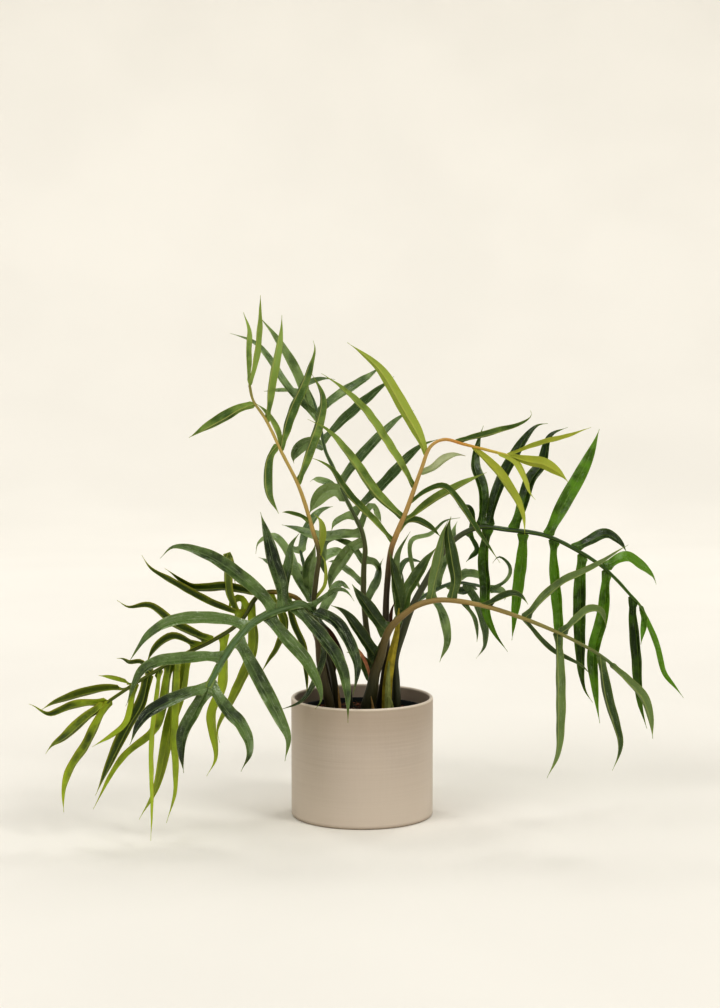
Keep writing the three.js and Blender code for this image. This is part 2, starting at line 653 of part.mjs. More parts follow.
// Planter: a plain glazed cylinder with a rounded lip and a softened foot
const lip = planterWall / 2;
const inside = planterRadius - planterWall;
const lipArc = planterLipSteps.map((degrees) => {
  const angle = THREE.MathUtils.degToRad(degrees);
  return [planterRadius - lip + lip * Math.cos(angle), planterHeight - lip + lip * Math.sin(angle)];
});
const planterProfile = [
  [0, 0],
  [planterRadius - planterFootEdge, 0],
  [planterRadius - planterFootInset, planterFootInset],
  [planterRadius, planterFootEdge],
  ...lipArc,
  [inside, planterFloor + planterFootEdge],
  [inside - planterFootEdge, planterFloor],
  [0, planterFloor],
];
addPart('planter', turned(planterProfile, planterFacets), planterGlaze);

// Grower's pot: a thin tapered pot with a rolled lip and drain holes
const innerPotFoot = planterFloor + fitGap;
const innerPotFloor = innerPotFoot + innerPotWall;
const innerRadiusAt = (height) => THREE.MathUtils.mapLinear(
  height,
  innerPotFoot,
  innerPotTop,
  innerPotFootRadius,
  innerPotTopRadius,
);
const lipFoot = innerPotTop - innerPotLipDepth;
const innerPotProfile = [
  [0, innerPotFoot],
  [innerPotFootRadius, innerPotFoot],
  [innerRadiusAt(lipFoot), lipFoot],
  [innerRadiusAt(lipFoot) + innerPotLipReach, lipFoot],
  [innerPotTopRadius + innerPotLipReach, innerPotTop],
  [innerPotTopRadius - innerPotWall, innerPotTop],
  [innerRadiusAt(innerPotFloor) - innerPotWall, innerPotFloor],
  [0, innerPotFloor],
];
let innerPot = solidOf(turned(innerPotProfile, innerPotFacets));
for (let hole = 0; hole < drainHoles; hole += 1) {
  const angle = (hole * 2 * Math.PI) / drainHoles;
  const drill = new THREE.CylinderGeometry(drainRadius, drainRadius, 4 * innerPotWall, drainFacets);
  drill.rotateX(Math.PI / 2);
  drill.translate(drainCircle * Math.cos(angle), drainCircle * Math.sin(angle), innerPotFoot);
  innerPot = innerPot.subtract(solidOf(drill));
}
addPart('nursery_pot', geometryOf(innerPot), potPlastic);

// Fronds
const holes = [];
const feet = [];
const frondSolids = fronds.map((frond) => {
  const stalk = trace(frond.stalk);
  const upper = new THREE.Vector3(...frond.upper).normalize();
  let solid = stalkSolid(stalk, upper, frond.girth, 0);
  frond.lobes.forEach((leaf, index) => {
    solid = solid.add(lobeSolid(frond, stalk, leaf, index));
  });
  holes.push(stalkSolid(stalk, upper, frond.girth, holeClearance));
  const foot = stalk.getPointAt(0);
  feet.push({ x: foot.x, y: foot.y, reach: frond.girth[0] / 2 });
  return solid;
});
const sheathSolids = sheaths.map((sheath) => {
  holes.push(sheathSolid(sheath, holeClearance));
  const foot = place(...sheath.route[0]);
  feet.push({ x: foot.x, y: foot.y, reach: sheath.width / 2 });
  return sheathSolid(sheath, 0);
});

// Potting mix: a low mound with bark chips bedded in it, and a plain hole for each stalk
const mixTopRadius = innerRadiusAt(mixEdge) - innerPotWall - fitGap;
const mixProfile = [
  [0, innerPotFloor + fitGap],
  [innerRadiusAt(innerPotFloor) - innerPotWall - 2 * fitGap, innerPotFloor + fitGap],
  [mixTopRadius, mixEdge],
  ...mixShoulders.map(([share, height]) => [mixTopRadius * share, height]),
  [0, mixCrown],
];
let mix = solidOf(turned(mixProfile, innerPotFacets));

// A small seeded generator keeps the chips in the same places every time.
const drawStep = 16807;
const drawLimit = 2147483647;
let seed = chipSeed;
function draw(low, high) {
  seed = (seed * drawStep) % drawLimit;
  return THREE.MathUtils.lerp(low, high, seed / drawLimit);
}

for (let chip = 0; chip < barkChips; chip += 1) {
  const radius = mixTopRadius * barkSpread * Math.sqrt(draw(0, 1));
  const angle = draw(0, 2 * Math.PI);
  const length = barkLength * draw(...barkSizes);
  const spot = new THREE.Vector3(radius * Math.cos(angle), radius * Math.sin(angle), 0);
  spot.z = THREE.MathUtils.lerp(mixCrown, mixEdge, radius / mixTopRadius) + barkProud;
  const turn = new THREE.Euler(draw(-barkTilt, barkTilt), draw(-barkTilt, barkTilt), draw(0, Math.PI));
  const clear = feet.every(({ x, y, reach }) => Math.hypot(x - spot.x, y - spot.y) > reach + length);
  if (clear) {
    const slab = new THREE.BoxGeometry(length, length * barkSlimness, barkThickness);
    slab.applyMatrix4(new THREE.Matrix4().makeRotationFromEuler(turn).setPosition(spot));
    mix = mix.add(solidOf(slab));
  }
}
for (const hole of holes) {
  mix = mix.subtract(hole);
}
addPart('potting_mix', geometryOf(mix), dampMix);

fronds.forEach((frond, index) => {
  addPart(frond.name, geometryOf(frondSolids[index]), [frond.colour, leafRoughness]);
});
sheaths.forEach((sheath, index) => {
  addPart(sheath.name, geometryOf(sheathSolids[index]), [sheath.colour, sheathRoughness]);
});

export default parts;
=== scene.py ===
import math

import bpy
import numpy as np
from mathutils import Matrix


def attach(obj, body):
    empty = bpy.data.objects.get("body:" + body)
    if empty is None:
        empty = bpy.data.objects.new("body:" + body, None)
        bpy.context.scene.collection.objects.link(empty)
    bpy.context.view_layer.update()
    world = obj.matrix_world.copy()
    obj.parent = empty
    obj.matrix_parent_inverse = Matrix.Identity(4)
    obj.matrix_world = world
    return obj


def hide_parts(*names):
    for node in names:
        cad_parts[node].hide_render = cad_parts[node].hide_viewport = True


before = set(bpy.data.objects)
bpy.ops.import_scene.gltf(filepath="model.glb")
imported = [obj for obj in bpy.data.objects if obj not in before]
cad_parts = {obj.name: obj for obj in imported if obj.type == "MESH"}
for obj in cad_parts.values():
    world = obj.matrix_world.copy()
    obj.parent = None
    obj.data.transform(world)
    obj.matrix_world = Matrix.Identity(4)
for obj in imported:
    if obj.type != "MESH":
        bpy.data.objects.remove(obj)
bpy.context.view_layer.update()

# Lengths are in millimetres until a mesh is made, which is in metres.
MM = 0.001

# The viewpoint, worked out from the planter's rim and foot. Every route below is read in the
# photograph's 720 x 1008 frame as [across, down] with a depth behind the planter's axis.
EYE = np.array([-3.0, -2920.0, 706.0])
PITCH = math.radians(5.2)
FOCAL = 2094.0
PHOTO_CENTRE = np.array([360.0, 504.0])
PHOTO_LONG_SIDE = 1008.0
MM_PER_PIXEL = -EYE[1] / FOCAL
TO_VIEWER = np.array([0.0, -1.0, 0.0])

# Planter, grower's pot and potting mix
PLANTER_RADIUS = 100.0
PLANTER_HEIGHT = 168.0
PLANTER_WALL = 5.0
PLANTER_FLOOR = 8.0
PLANTER_FOOT_EDGE = 3.0
FIT_GAP = 0.3
INNER_POT_TOP_RADIUS = 92.5
INNER_POT_FOOT_RADIUS = 80.0
INNER_POT_TOP = 149.0
INNER_POT_WALL = 2.0
INNER_POT_LIP_REACH = 1.6
INNER_POT_LIP_DEPTH = 7.0
DRAIN_HOLES = 6
DRAIN_RADIUS = 5.0
DRAIN_CIRCLE = 52.0
MIX_EDGE = 141.0
MIX_CROWN = 147.0
PLANTER_FACETS = 144
INNER_POT_FACETS = 120
MIX_RINGS = 34

# The height and span of each kind of lump in the mix, the share of it that shows, and its crumb
MIX_LUMPS = ((1.1, 40.0), (0.8, 19.0), (0.7, 11.0), (0.6, 7.0), (0.6, 5.0))
MIX_LUMP_SHARE = 0.7
MIX_CRUMB = 0.7

# Leaf blades: sizes in millimetres, with the fold and the twist in radians
BROAD_LOBE = 17.0
BLADE_THICKNESS = 0.55
BLADE_FOLD = 0.46
WING_FOLD = 0.12
WING_SEAT = 0.45
WING_WAVE = 0.25
WING_WAVES = 60.0
LOBE_TIP_WIDTH = 0.7
LOBE_FULLNESS = 1.2
FLARE_LENGTH = 8.0
FOLD_LENGTH = 24.0
TONE_LENGTH = 35.0
WAIST_LENGTH = 26.0
RIPPLED_WIDTH = 13.0
ROOT_LENGTH = 16.0
TIP_HOOK = 5.0
HOOK_START = 0.78
ROW_SPACING = 4.5
ACROSS = np.array([-1.0, -0.9, -0.68, -0.42, -0.18, -0.07, 0.0, 0.07, 0.18, 0.42, 0.68, 0.9, 1.0])
GROOVE_DEPTH = 0.22
GROOVE_REACH = 0.8
RIB_DEPTH = 1.1
RIB_TAPER = 0.8
RIB_REACH = 0.9
LOBE_SAMPLES = 80
LOBE_ROWS = (14, 44)
LOBE_TWIST = 0.35

# How far one lobe differs from the next: each is drawn between these
FOLD_RANGE = (-0.1, 0.14)
HOOK_RANGE = (0.3, 1.2)
CURL_RANGE = (0.3, 0.9)
RIPPLE_SPAN_RANGE = (26.0, 44.0)
RIPPLE_SIZE_RANGE = (0.2, 0.6)

# What each point of a blade tells its finish
MARKS = ("across", "along", "under", "run", "tone", "ripe")

# Stalks and sheaths
STALK_ROWS = 110
STALK_SIDES = 14
STALK_ROOT_DEPTH = 18.0
STALK_KNOBBLE = 0.03
STALK_TIP = 0.4
SHEATH_ROOT_DEPTH = 12.0
SHEATH_SAMPLES = 30
SHEATH_ROWS = 34
SHEATH_FOLD = -0.55


def lobe(seen, lift, *route):
    """A lobe: the width seen, how far its tip lies behind its root, and its route."""
    return {"seen": seen, "lift": lift, "route": route}


# Each frond is one petiole and rachis with its lobes. The stalk is [across, down, depth] from
# the potting mix to the tip; girth is its diameter in even steps along it; upper is the way
# that the blade's upper face looks.
FRONDS = {
    "frond_upper_left": {
        "upper": [0.35, 0.8, 0.45],
        "girth": [10, 8.5, 7, 5.5, 4.2, 3.4],
        "stalk": [
          [338, 706, -6], [332, 670, -12], [325, 645, -18], [314, 612, -25], [316, 580, -29],
          [319, 554, -32], [313, 531, -36], [299, 487, -42], [281, 451, -46], [266, 420, -50],
          [253, 400, -54], [249, 383, -58],
        ],
        "lobes": [
          lobe(6, -35, [252, 384], [256, 350], [261, 294.4]),
          lobe(6, 25, [248, 380], [247, 350], [248, 330], [244, 313]),
          lobe(10, -30, [255, 402], [240, 409], [225, 418], [188, 438]),
          lobe(8, 40, [266.5, 420.5], [270, 385], [277, 350], [284, 316]),
          lobe(9, 45, [281, 451], [289, 415], [305, 378], [315, 347], [313.5, 341]),
          lobe(9, -45, [276, 447], [268, 459], [266, 478], [268, 495], [280, 514]),
          lobe(9, 40, [298.5, 484], [308, 451], [318, 422], [322, 398], [314, 373]),
          lobe(6, 50, [283, 454], [276, 430], [258, 402]),
          lobe(5, -30, [310, 522], [304, 518], [292, 514], [281, 511]),
          lobe(8, -9, [319, 557], [320, 543], [321, 528], [318, 513]),
          lobe(3.5, -9, [322, 600], [324, 585], [325, 566], [323, 552]),
          lobe(6, -10, [334, 676], [336, 650], [331, 636], [324, 621]),
        ],
    },
    "frond_upper_middle": {
        "upper": [-0.25, 0.8, 0.5],
        "girth": [11, 10, 8.5, 7.5, 5.5, 4.2, 3.6],
        "stalk": [
          [380, 705, -14], [386, 660, -16], [386, 605, -19], [388, 575, -22], [391, 550, -25],
          [395, 538, -27], [407, 509, -33], [421, 470, -42], [431, 446, -52], [444, 439.5, -58],
          [465, 444.5, -66], [495, 452, -76], [510, 456, -80],
        ],
        "lobes": [
          lobe(11, 30, [425, 456], [423, 445], [401, 405], [379, 369], [359, 351], [348, 343]),
          lobe(8, 35, [412, 486], [387, 445], [365, 412], [338, 384.5], [324, 371]),
          lobe(9, -30, [402, 519], [377, 496], [353, 462], [328, 431], [309, 417]),
          lobe(7, -35, [392, 541], [376, 524], [348, 495], [331, 469], [313, 453]),
          lobe(6, -45, [413, 504], [424, 493], [442, 487], [451, 493], [480, 535], [501, 563]),
          lobe(8, 30, [403.5, 522.6], [414, 515], [430, 503], [452, 490], [486, 472]),
          lobe(9, 20, [423, 474], [434, 468], [445, 460], [464, 452]),
          lobe(7, 40, [396, 537], [408, 522], [417, 521], [427, 526], [441.5, 536]),
          lobe(8, -25, [474, 447], [484, 458], [500, 476], [521, 511], [526, 535]),
          lobe(6, -40, [498, 453], [517, 462], [526.5, 480], [531, 501]),
          lobe(11, -20, [510, 456], [531, 462], [543, 464], [570, 480]),
          lobe(6, 45, [456.5, 441], [490, 434], [523, 423], [530.5, 415], [529, 411.5]),
          lobe(5, 40, [508, 454], [543, 443], [569, 436], [589, 427]),
          lobe(5, 18, [386, 652], [391, 625], [393, 600]),
        ],
    },
    "frond_back_middle": {
        "upper": [0.1, -0.8, 0.55],
        "girth": [9, 8.5, 8, 7.5, 6, 5, 4, 3],
        "stalk": [
          [372, 703, 16], [370, 655, 24], [366, 625, 30], [363.5, 595, 36], [364, 564, 42],
          [365, 548, 46], [361, 530, 52], [353, 513, 58], [344, 495, 64], [334, 470, 74], [325, 450, 84],
          [320, 425, 96], [315, 405, 106], [308, 390, 114],
        ],
        "lobes": [
          lobe(8, 60, [320, 414], [334.5, 400], [365, 380], [383, 364.5]),
          lobe(8, -45, [328, 440], [345, 420], [382, 387], [393, 377]),
          lobe(8, 70, [339, 484], [365, 454], [401, 417], [414, 408]),
          lobe(8, -25, [357, 513], [383, 486], [419, 447.5], [436, 437]),
          lobe(6, 20, [313, 418], [306, 402], [306, 386], [334.5, 376]),
          lobe(6, 60, [312, 422], [289, 390], [258, 346], [231, 331]),
          lobe(8, -50, [312, 409], [308, 400], [291.5, 366], [261, 316]),
          lobe(4, 40, [308, 390], [300, 375], [286, 350]),
          lobe(4, 30, [309, 393], [293, 391], [263, 391]),
          lobe(14, 30, [345, 500], [337, 490], [325, 492], [308, 513]),
          lobe(6, 60, [342, 494], [326, 483], [310, 477]),
          lobe(12, 45, [325, 447], [312, 442], [300, 448], [290, 463]),
          lobe(8, 50, [363, 531], [345, 536], [319, 537.5], [296, 529], [282, 523]),
          lobe(7, -18, [356, 515], [349, 516], [338, 522], [330, 528]),
          lobe(11, 40, [364, 540], [352, 548], [342, 561], [334, 573], [327, 592]),
          lobe(8, 90, [361, 534], [343, 535], [328, 541], [324, 556], [326.5, 583]),
          lobe(6, 40, [361, 526], [371, 507], [377, 514], [383, 524]),
          lobe(6, 30, [364, 562], [350, 546], [333, 538]),
          lobe(6, 60, [364, 560], [372, 562], [381, 572]),
          lobe(5, 80, [363.5, 582], [350, 573], [336, 563], [326, 560]),
          lobe(7, 75, [364, 604], [371, 594], [378, 582], [381, 558]),
        ],
    },
    "frond_right_back": {
        "upper": [-0.1, -0.55, 0.8],
        "girth": [11, 10.5, 9.5, 8, 6.5, 5.5, 4.5, 3.5],
        "stalk": [
          [397, 705, 0], [396, 680, 4], [395, 660, 8], [403, 632, 16], [413, 605, 26], [428, 578, 36],
          [440, 557, 44], [453, 541, 52], [468, 531, 60], [482, 527, 66], [505, 529.5, 76],
          [545, 535.5, 92], [576, 550, 104], [605, 569, 114], [632, 597, 122], [640, 606, 124],
        ],
        "lobes": [
          lobe(9, 50, [482, 524], [481.6, 490], [474, 465], [477, 444], [484, 425]),
          lobe(9, 70, [488.6, 524], [497, 496], [508, 469], [536, 425.6], [547.5, 420]),
          lobe(10, 75, [514, 528], [521, 512], [531.5, 480], [543, 464], [550, 437], [567, 424.6]),
          lobe(12, 80, [549, 532.5], [566, 500], [580, 475], [591, 452], [600, 428.6]),
          lobe(8, 60, [575, 548], [589, 542], [606, 535], [621, 544], [628, 553]),
          lobe(8, 60, [605, 568], [617.6, 560], [627, 558], [640.5, 566], [659.5, 581]),
          lobe(5, 30, [474, 529], [469, 508], [461, 503]),
          lobe(5, 40, [468, 531], [475.5, 550], [471, 556], [468, 562]),
          lobe(9, -50, [488.6, 529], [485, 560], [487, 583], [488, 612], [504, 653]),
          lobe(9, -30, [521, 534], [523.5, 550], [520, 583], [512, 640]),
          lobe(9, -55, [553.5, 538], [556, 566], [560, 620], [561, 676]),
          lobe(10, -35, [582, 556], [581, 580], [581, 636], [584, 690], [589, 704]),
          lobe(10, -60, [606, 574], [604.5, 612], [594, 655], [596, 690], [598, 723]),
          lobe(8, -25, [634, 598], [638, 655], [640, 693], [644, 729]),
          lobe(6, 30, [640, 606], [655.5, 647], [663, 673], [685, 697]),
          lobe(5, -60, [637, 602], [645, 618], [641, 643]),
        ],
    },
    "frond_right_front": {
        "upper": [0.1, 0.7, 0.7],
        "girth": [20, 13, 9.5, 7.5, 6.5, 5.5, 4.5, 4],
        "stalk": [
          [368, 706, -36], [372, 689, -40], [375, 673, -44], [381, 656, -48], [385, 640, -52],
          [391, 627, -57], [406, 613, -64], [418, 605, -70], [440, 600, -78], [480, 605, -92],
          [525, 619, -108], [565, 636, -122], [600, 655, -134], [615, 667, -138],
        ],
        "lobes": [
          lobe(10, -35, [431, 599], [434, 583], [439, 563], [446, 520]),
          lobe(11, -30, [452, 601], [455, 580], [452, 560], [448, 530], [450, 515]),
          lobe(8, -40, [484, 603], [498, 600], [514, 595], [530, 602]),
          lobe(8, 40, [525, 619], [558.6, 586], [597, 566], [626, 544]),
          lobe(9, 35, [560, 635], [575, 622], [589, 611], [599, 611], [608, 625]),
          lobe(8, -40, [556.5, 634], [558.6, 678], [559, 720], [557, 755], [547, 778.5]),
          lobe(8, -30, [601, 656], [606, 696.5], [615, 727], [619, 741], [618, 771]),
          lobe(8, -25, [611, 662], [627, 681], [643, 699], [655, 738]),
          lobe(5, 35, [522, 620], [540, 640], [553, 652], [578, 664], [594, 673]),
          lobe(4, -25, [463, 604], [474, 619], [478, 643]),
          lobe(3.5, -12, [372, 686], [363, 659], [351, 643], [343, 627], [333, 615]),
        ],
    },
    "frond_left_front": {
        "upper": [0.05, -0.75, 0.65],
        "girth": [13, 12, 10.5, 9, 8, 7, 6.5, 5.5],
        "stalk": [
          [330, 705, -26], [321, 665, -33], [318.5, 640, -41], [315, 620, -51], [304, 606, -64],
          [288, 608, -80], [264, 617, -104], [249, 627, -122], [228, 652, -150], [213, 678, -172],
          [208, 688, -180],
        ],
        "lobes": [
          lobe(10, -50, [310, 606], [334, 622], [348.5, 644], [356, 666], [354.4, 695]),
          lobe(10, -48, [294, 607], [321, 637], [340, 666], [350.7, 722]),
          lobe(10, -20, [268, 616], [284, 637], [306, 663], [322, 700], [319, 711]),
          lobe(10, -30, [275, 612], [261, 595], [241, 578], [210, 557], [174, 547], [160, 558]),
          lobe(9, -45, [249, 627], [227, 621], [178, 621], [153.5, 632], [127, 661]),
          lobe(9, -35, [224, 657], [194, 659], [147, 668], [125, 706]),
          lobe(11, -30, [238, 640], [250.5, 664], [280, 720], [288, 739], [284, 761]),
          lobe(9, -40, [208, 687], [188, 694], [147, 715], [128, 744]),
          lobe(11, -25, [208, 688], [194, 714], [184, 734], [182, 773]),
          lobe(9, -50, [210, 684], [226, 710], [241, 727], [249, 750], [242.5, 771]),
          lobe(11.5, 25, [282, 609], [281, 588], [273, 561], [267.6, 538], [260, 512]),
          lobe(9, 30, [286, 608], [287, 588], [291, 561], [292, 546], [296.7, 532]),
          lobe(4, -14, [309, 607], [323, 599], [340, 590], [356, 598]),
          lobe(5, -16, [309, 607], [321, 630], [325, 652], [317, 678], [302, 701], [279, 709.5]),
        ],
    },
    "frond_left": {
        "upper": [0.1, 0.55, 0.8],
        "girth": [10, 8.5, 7, 6, 5.5, 4.5, 4],
        "stalk": [
          [333, 704, 16], [322, 655, 8], [310, 620, -2], [299, 600, -13], [285, 594, -26],
          [270, 592, -40], [258, 596, -52], [240, 622, -70], [211, 641.5, -90], [189, 652, -100],
          [154.5, 672, -116], [133, 685, -128], [105, 704, -142],
        ],
        "lobes": [
          lobe(9, -20, [262, 594], [248, 592], [226, 588], [191, 587.6], [166, 567]),
          lobe(8, -10, [244, 616], [210, 604], [172, 583], [150, 568], [142, 555]),
          lobe(9, 20, [211, 641.5], [172, 624], [150, 607], [128.5, 607], [119, 599]),
          lobe(8, 15, [200, 647], [172, 638], [154.5, 650], [146, 661]),
          lobe(5, 40, [150, 675], [141.5, 663], [128.5, 663], [120, 654.5]),
          lobe(5, 40, [135, 684], [113, 679], [100, 675]),
          lobe(9, 20, [128.5, 688], [96, 691], [63, 700], [40.6, 706.5]),
          lobe(8, -20, [107, 703], [74, 706.5], [48, 715], [32, 701]),
          lobe(10, -45, [105, 704], [85, 720], [63, 739], [43, 749]),
          lobe(8, -25, [112, 700], [102, 715], [87, 746], [70, 772], [59, 811]),
          lobe(10, -60, [150, 676], [141.5, 704], [128.5, 726], [95, 795.5]),
          lobe(6, -45, [136, 684], [128, 722], [111, 737], [90.5, 746]),
          lobe(8, -50, [172, 662], [158, 728], [124, 759], [92, 808.5]),
          lobe(12, -45, [187, 653], [180, 694], [171.5, 720], [155, 791], [137, 818]),
          lobe(8, -70, [176, 660], [172, 730], [174, 791], [167.5, 824]),
          lobe(5, -115, [160, 670], [150, 740], [151, 802], [152.3, 842]),
          lobe(9, -25, [226, 634], [224, 687], [213, 714], [216, 758], [205, 775]),
          lobe(9, -10, [250, 606], [254, 648], [234, 697], [217, 730], [218, 743]),
          lobe(7, 15, [268, 592], [286, 622], [279, 646.5], [259, 673]),
          lobe(9, 45, [240, 618], [228, 596], [226, 572], [228, 554], [233, 566], [234, 585]),
          lobe(9, 30, [246, 612], [240, 600], [228, 608]),
          lobe(7, -24, [285, 594], [291, 622], [301, 646], [304, 668], [309, 698]),
        ],
    },
    "frond_back_left": {
        "upper": [0, -0.7, 0.7],
        "girth": [9, 8, 6.5, 5, 4],
        "stalk": [
          [350, 702, 36], [344, 665, 54], [334, 638, 72], [318, 618, 96], [309, 590, 126],
          [303, 562, 154], [300, 550, 166],
        ],
        "lobes": [
          lobe(8, 60, [313, 602], [297, 580], [288, 555], [273, 537], [258, 543], [253, 553]),
          lobe(6, 70, [306, 575], [283, 570], [258, 556]),
          lobe(7, 90, [311, 598], [304, 584], [295, 557]),
          lobe(12, -30, [310, 595], [309, 570], [316, 545]),
          lobe(5, 40, [300, 550], [295, 549.7], [284, 546]),
          lobe(9, 90, [318, 618], [330, 600], [340, 585], [352, 590]),
          lobe(9, 60, [306, 580], [322, 560], [338, 552], [350, 560]),
          lobe(8, 60, [301, 552], [308, 530], [320, 512], [334, 505]),
        ],
    },
    "frond_back_right": {
        "upper": [0, -0.6, 0.8],
        "girth": [9, 8, 6.5, 5.5, 4.5, 4],
        "stalk": [
          [390, 704, 28], [392, 660, 40], [400, 630, 58], [415, 604, 82], [436, 590, 108],
          [455, 583, 130], [475, 585, 150], [492, 590, 166],
        ],
        "lobes": [
          lobe(8, -10, [455, 583], [466, 575], [479, 577], [486, 587]),
          lobe(7, 60, [448, 586], [460, 592], [472, 588], [480, 590]),
          lobe(4, 70, [455, 583], [464, 572], [472, 570]),
          lobe(4, 15, [490, 590], [504, 581], [509, 573], [508, 565], [499, 557], [491, 561]),
          lobe(7, 40, [488, 589], [500, 591], [508, 598]),
          lobe(8, -25, [400, 630], [395, 600], [394, 566], [399, 549], [411, 533]),
          lobe(4, 30, [424, 597], [414, 570], [412, 541], [431, 534], [445, 521], [461, 517]),
          lobe(6, 90, [410, 612], [400, 580], [406, 562], [427, 562]),
          lobe(5, 60, [404, 622], [401, 590], [404, 570]),
          lobe(10, 80, [436, 590], [444, 560], [452, 540], [455, 520]),
          lobe(9, 90, [465, 583], [478, 610], [484, 640], [480, 660]),
          lobe(9, -20, [430, 593], [440, 612], [446, 640], [440, 662]),
        ],
    },
    "frond_short": {
        "upper": [-0.1, -0.75, 0.65],
        "girth": [8, 7, 6, 5, 4.5],
        "stalk": [[368, 702, -12], [372, 678, -18], [378, 655, -26], [388, 632, -29], [403, 610, -34]],
        "lobes": [
          lobe(9, -8, [373, 675], [360, 662], [350, 650]),
          lobe(9, -8, [377, 658], [369, 648], [343, 612], [333, 603]),
          lobe(10, 12, [388, 632], [381, 626], [360, 597], [352, 584]),
          lobe(9, -12, [402, 611], [397, 591], [393, 575], [390, 551]),
          lobe(9, -8, [403, 610], [409, 591], [417, 578], [436, 546]),
        ],
    },
}


def paint(red, green, blue):
    """A colour given as it shows, 0 to 255, as the renderer's linear values."""
    shown = np.array([red, green, blue]) / 255.0
    linear = np.where(shown <= 0.04045, shown / 12.92, ((shown + 0.055) / 1.055) ** 2.4)
    return (*linear.tolist(), 1.0)


# How each frond looks. Its shape: wing is the green edge along the rachis, flare how far a
# lobe's root spreads, waist how narrow it is above that, and broad widens all its lobes. Its
# colours: stalk from the potting mix to the tip, by share; tones and blush name some lobes, by
# number, from dark -1 to light 1 and by how far they have turned yellow; lobes that grow beyond
# the share "ripe" of the stalk are yellow, and pale_lobe is a bleached one. flake is the finish
# of the last lobe where that is a dry sheath.
LOOKS = {
    "frond_upper_left": {
        "leaf": "leaf_upright", "slot": "leaf_green", "wing": 2.0, "flare": 2.0, "waist": 0.5,
        "flake": "sheath_brown", "blush": {9: 0.6, 10: 0.7},
        "tones": {0: 0.5, 2: -0.4, 3: 0.6, 4: -0.3, 6: -0.3},
        "stalk": {0: (62, 60, 36), 0.28: (72, 70, 42), 0.4: (88, 84, 50), 0.51: (98, 94, 56),
                  0.57: (188, 162, 98), 0.85: (200, 176, 108), 1: (140, 140, 78)},
    },
    "frond_upper_middle": {
        "leaf": "leaf_upright", "slot": "leaf_green", "wing": 1.6, "flare": 1.8, "waist": 0.5,
        "flake": "sheath_brown", "ripe": 0.83, "blush": {0: 0.55, 1: 0.12, 5: 0.1}, "pale_lobe": 6,
        "tones": {0: 1.0, 1: 0.5, 2: 0.1, 5: 0.2},
        "stalk": {0: (54, 50, 34), 0.2: (66, 58, 40), 0.4: (74, 62, 42), 0.46: (104, 84, 54),
                  0.53: (184, 152, 98), 0.78: (202, 172, 108), 0.86: (206, 150, 74), 1: (196, 188, 84)},
    },
    "frond_back_middle": {
        "leaf": "leaf_grey", "slot": "leaf_dark", "wing": 4.0, "flare": 3.5, "waist": 0.62, "broad": 1.08,
        "stalk": {0: (68, 66, 42), 0.3: (90, 88, 56), 0.5: (96, 98, 60), 0.7: (78, 96, 52), 1: (64, 92, 48)},
    },
    "frond_right_back": {
        "leaf": "leaf_lit", "slot": "leaf_green", "wing": 4.5, "flare": 5.0, "waist": 0.62, "broad": 1.1,
        "stalk": {0: (66, 70, 46), 0.2: (76, 80, 54), 0.45: (88, 92, 64), 0.6: (52, 74, 26), 1: (66, 96, 32)},
    },
    "frond_right_front": {
        "leaf": "leaf_under", "slot": "leaf_green", "wing": 2.6, "flare": 4.0, "waist": 0.6,
        "flake": "sheath_pink",
        "stalk": {0: (42, 42, 24), 0.14: (66, 66, 38), 0.27: (104, 92, 54), 0.38: (150, 128, 80),
                  0.6: (168, 146, 92), 0.85: (138, 136, 80), 1: (84, 108, 56)},
    },
    "frond_left_front": {
        "leaf": "leaf_dark", "slot": "leaf_dark", "wing": 10.0, "flare": 7.0, "waist": 0.8, "broad": 1.1,
        "stalk": {0: (64, 62, 40), 0.2: (88, 80, 54), 0.36: (112, 94, 66), 0.43: (98, 118, 72),
                  1: (92, 120, 74)},
    },
    "frond_left": {
        "leaf": "leaf_olive", "slot": "leaf_olive", "wing": 6.0, "flare": 5.5, "waist": 0.72,
        "blush": {6: 0.2, 13: 0.6, 14: 0.3, 16: 0.4, 17: 0.5, 18: 0.2, 19: 0.2},
        "tones": {0: -0.8, 1: -0.6, 2: -1.0, 3: -0.8, 6: -0.4, 7: 0.0, 8: 0.0, 9: 0.2, 10: -0.5, 12: 0.2},
        "stalk": {0: (62, 58, 36), 0.2: (84, 74, 44), 0.34: (128, 106, 60), 0.44: (146, 124, 56),
                  0.52: (82, 88, 28), 1: (96, 110, 32)},
    },
    "frond_back_left": {
        "leaf": "leaf_grey", "slot": "leaf_dark", "wing": 4.0, "flare": 4.0, "waist": 0.7,
        "stalk": {0: (62, 62, 42), 0.3: (74, 76, 50), 0.6: (68, 84, 52), 1: (66, 88, 56)},
    },
    "frond_back_right": {
        "leaf": "leaf_grey", "slot": "leaf_dark", "wing": 4.0, "flare": 4.0, "waist": 0.7,
        "stalk": {0: (62, 62, 44), 0.3: (74, 80, 52), 0.6: (72, 92, 60), 1: (80, 104, 76)},
    },
    "frond_short": {
        "leaf": "leaf_under", "slot": "leaf_green", "wing": 6.0, "flare": 6.5, "waist": 0.92, "broad": 1.15,
        "stalk": {0: (46, 44, 28), 0.3: (64, 68, 38), 0.6: (66, 92, 42), 1: (70, 100, 46)},
    },
}

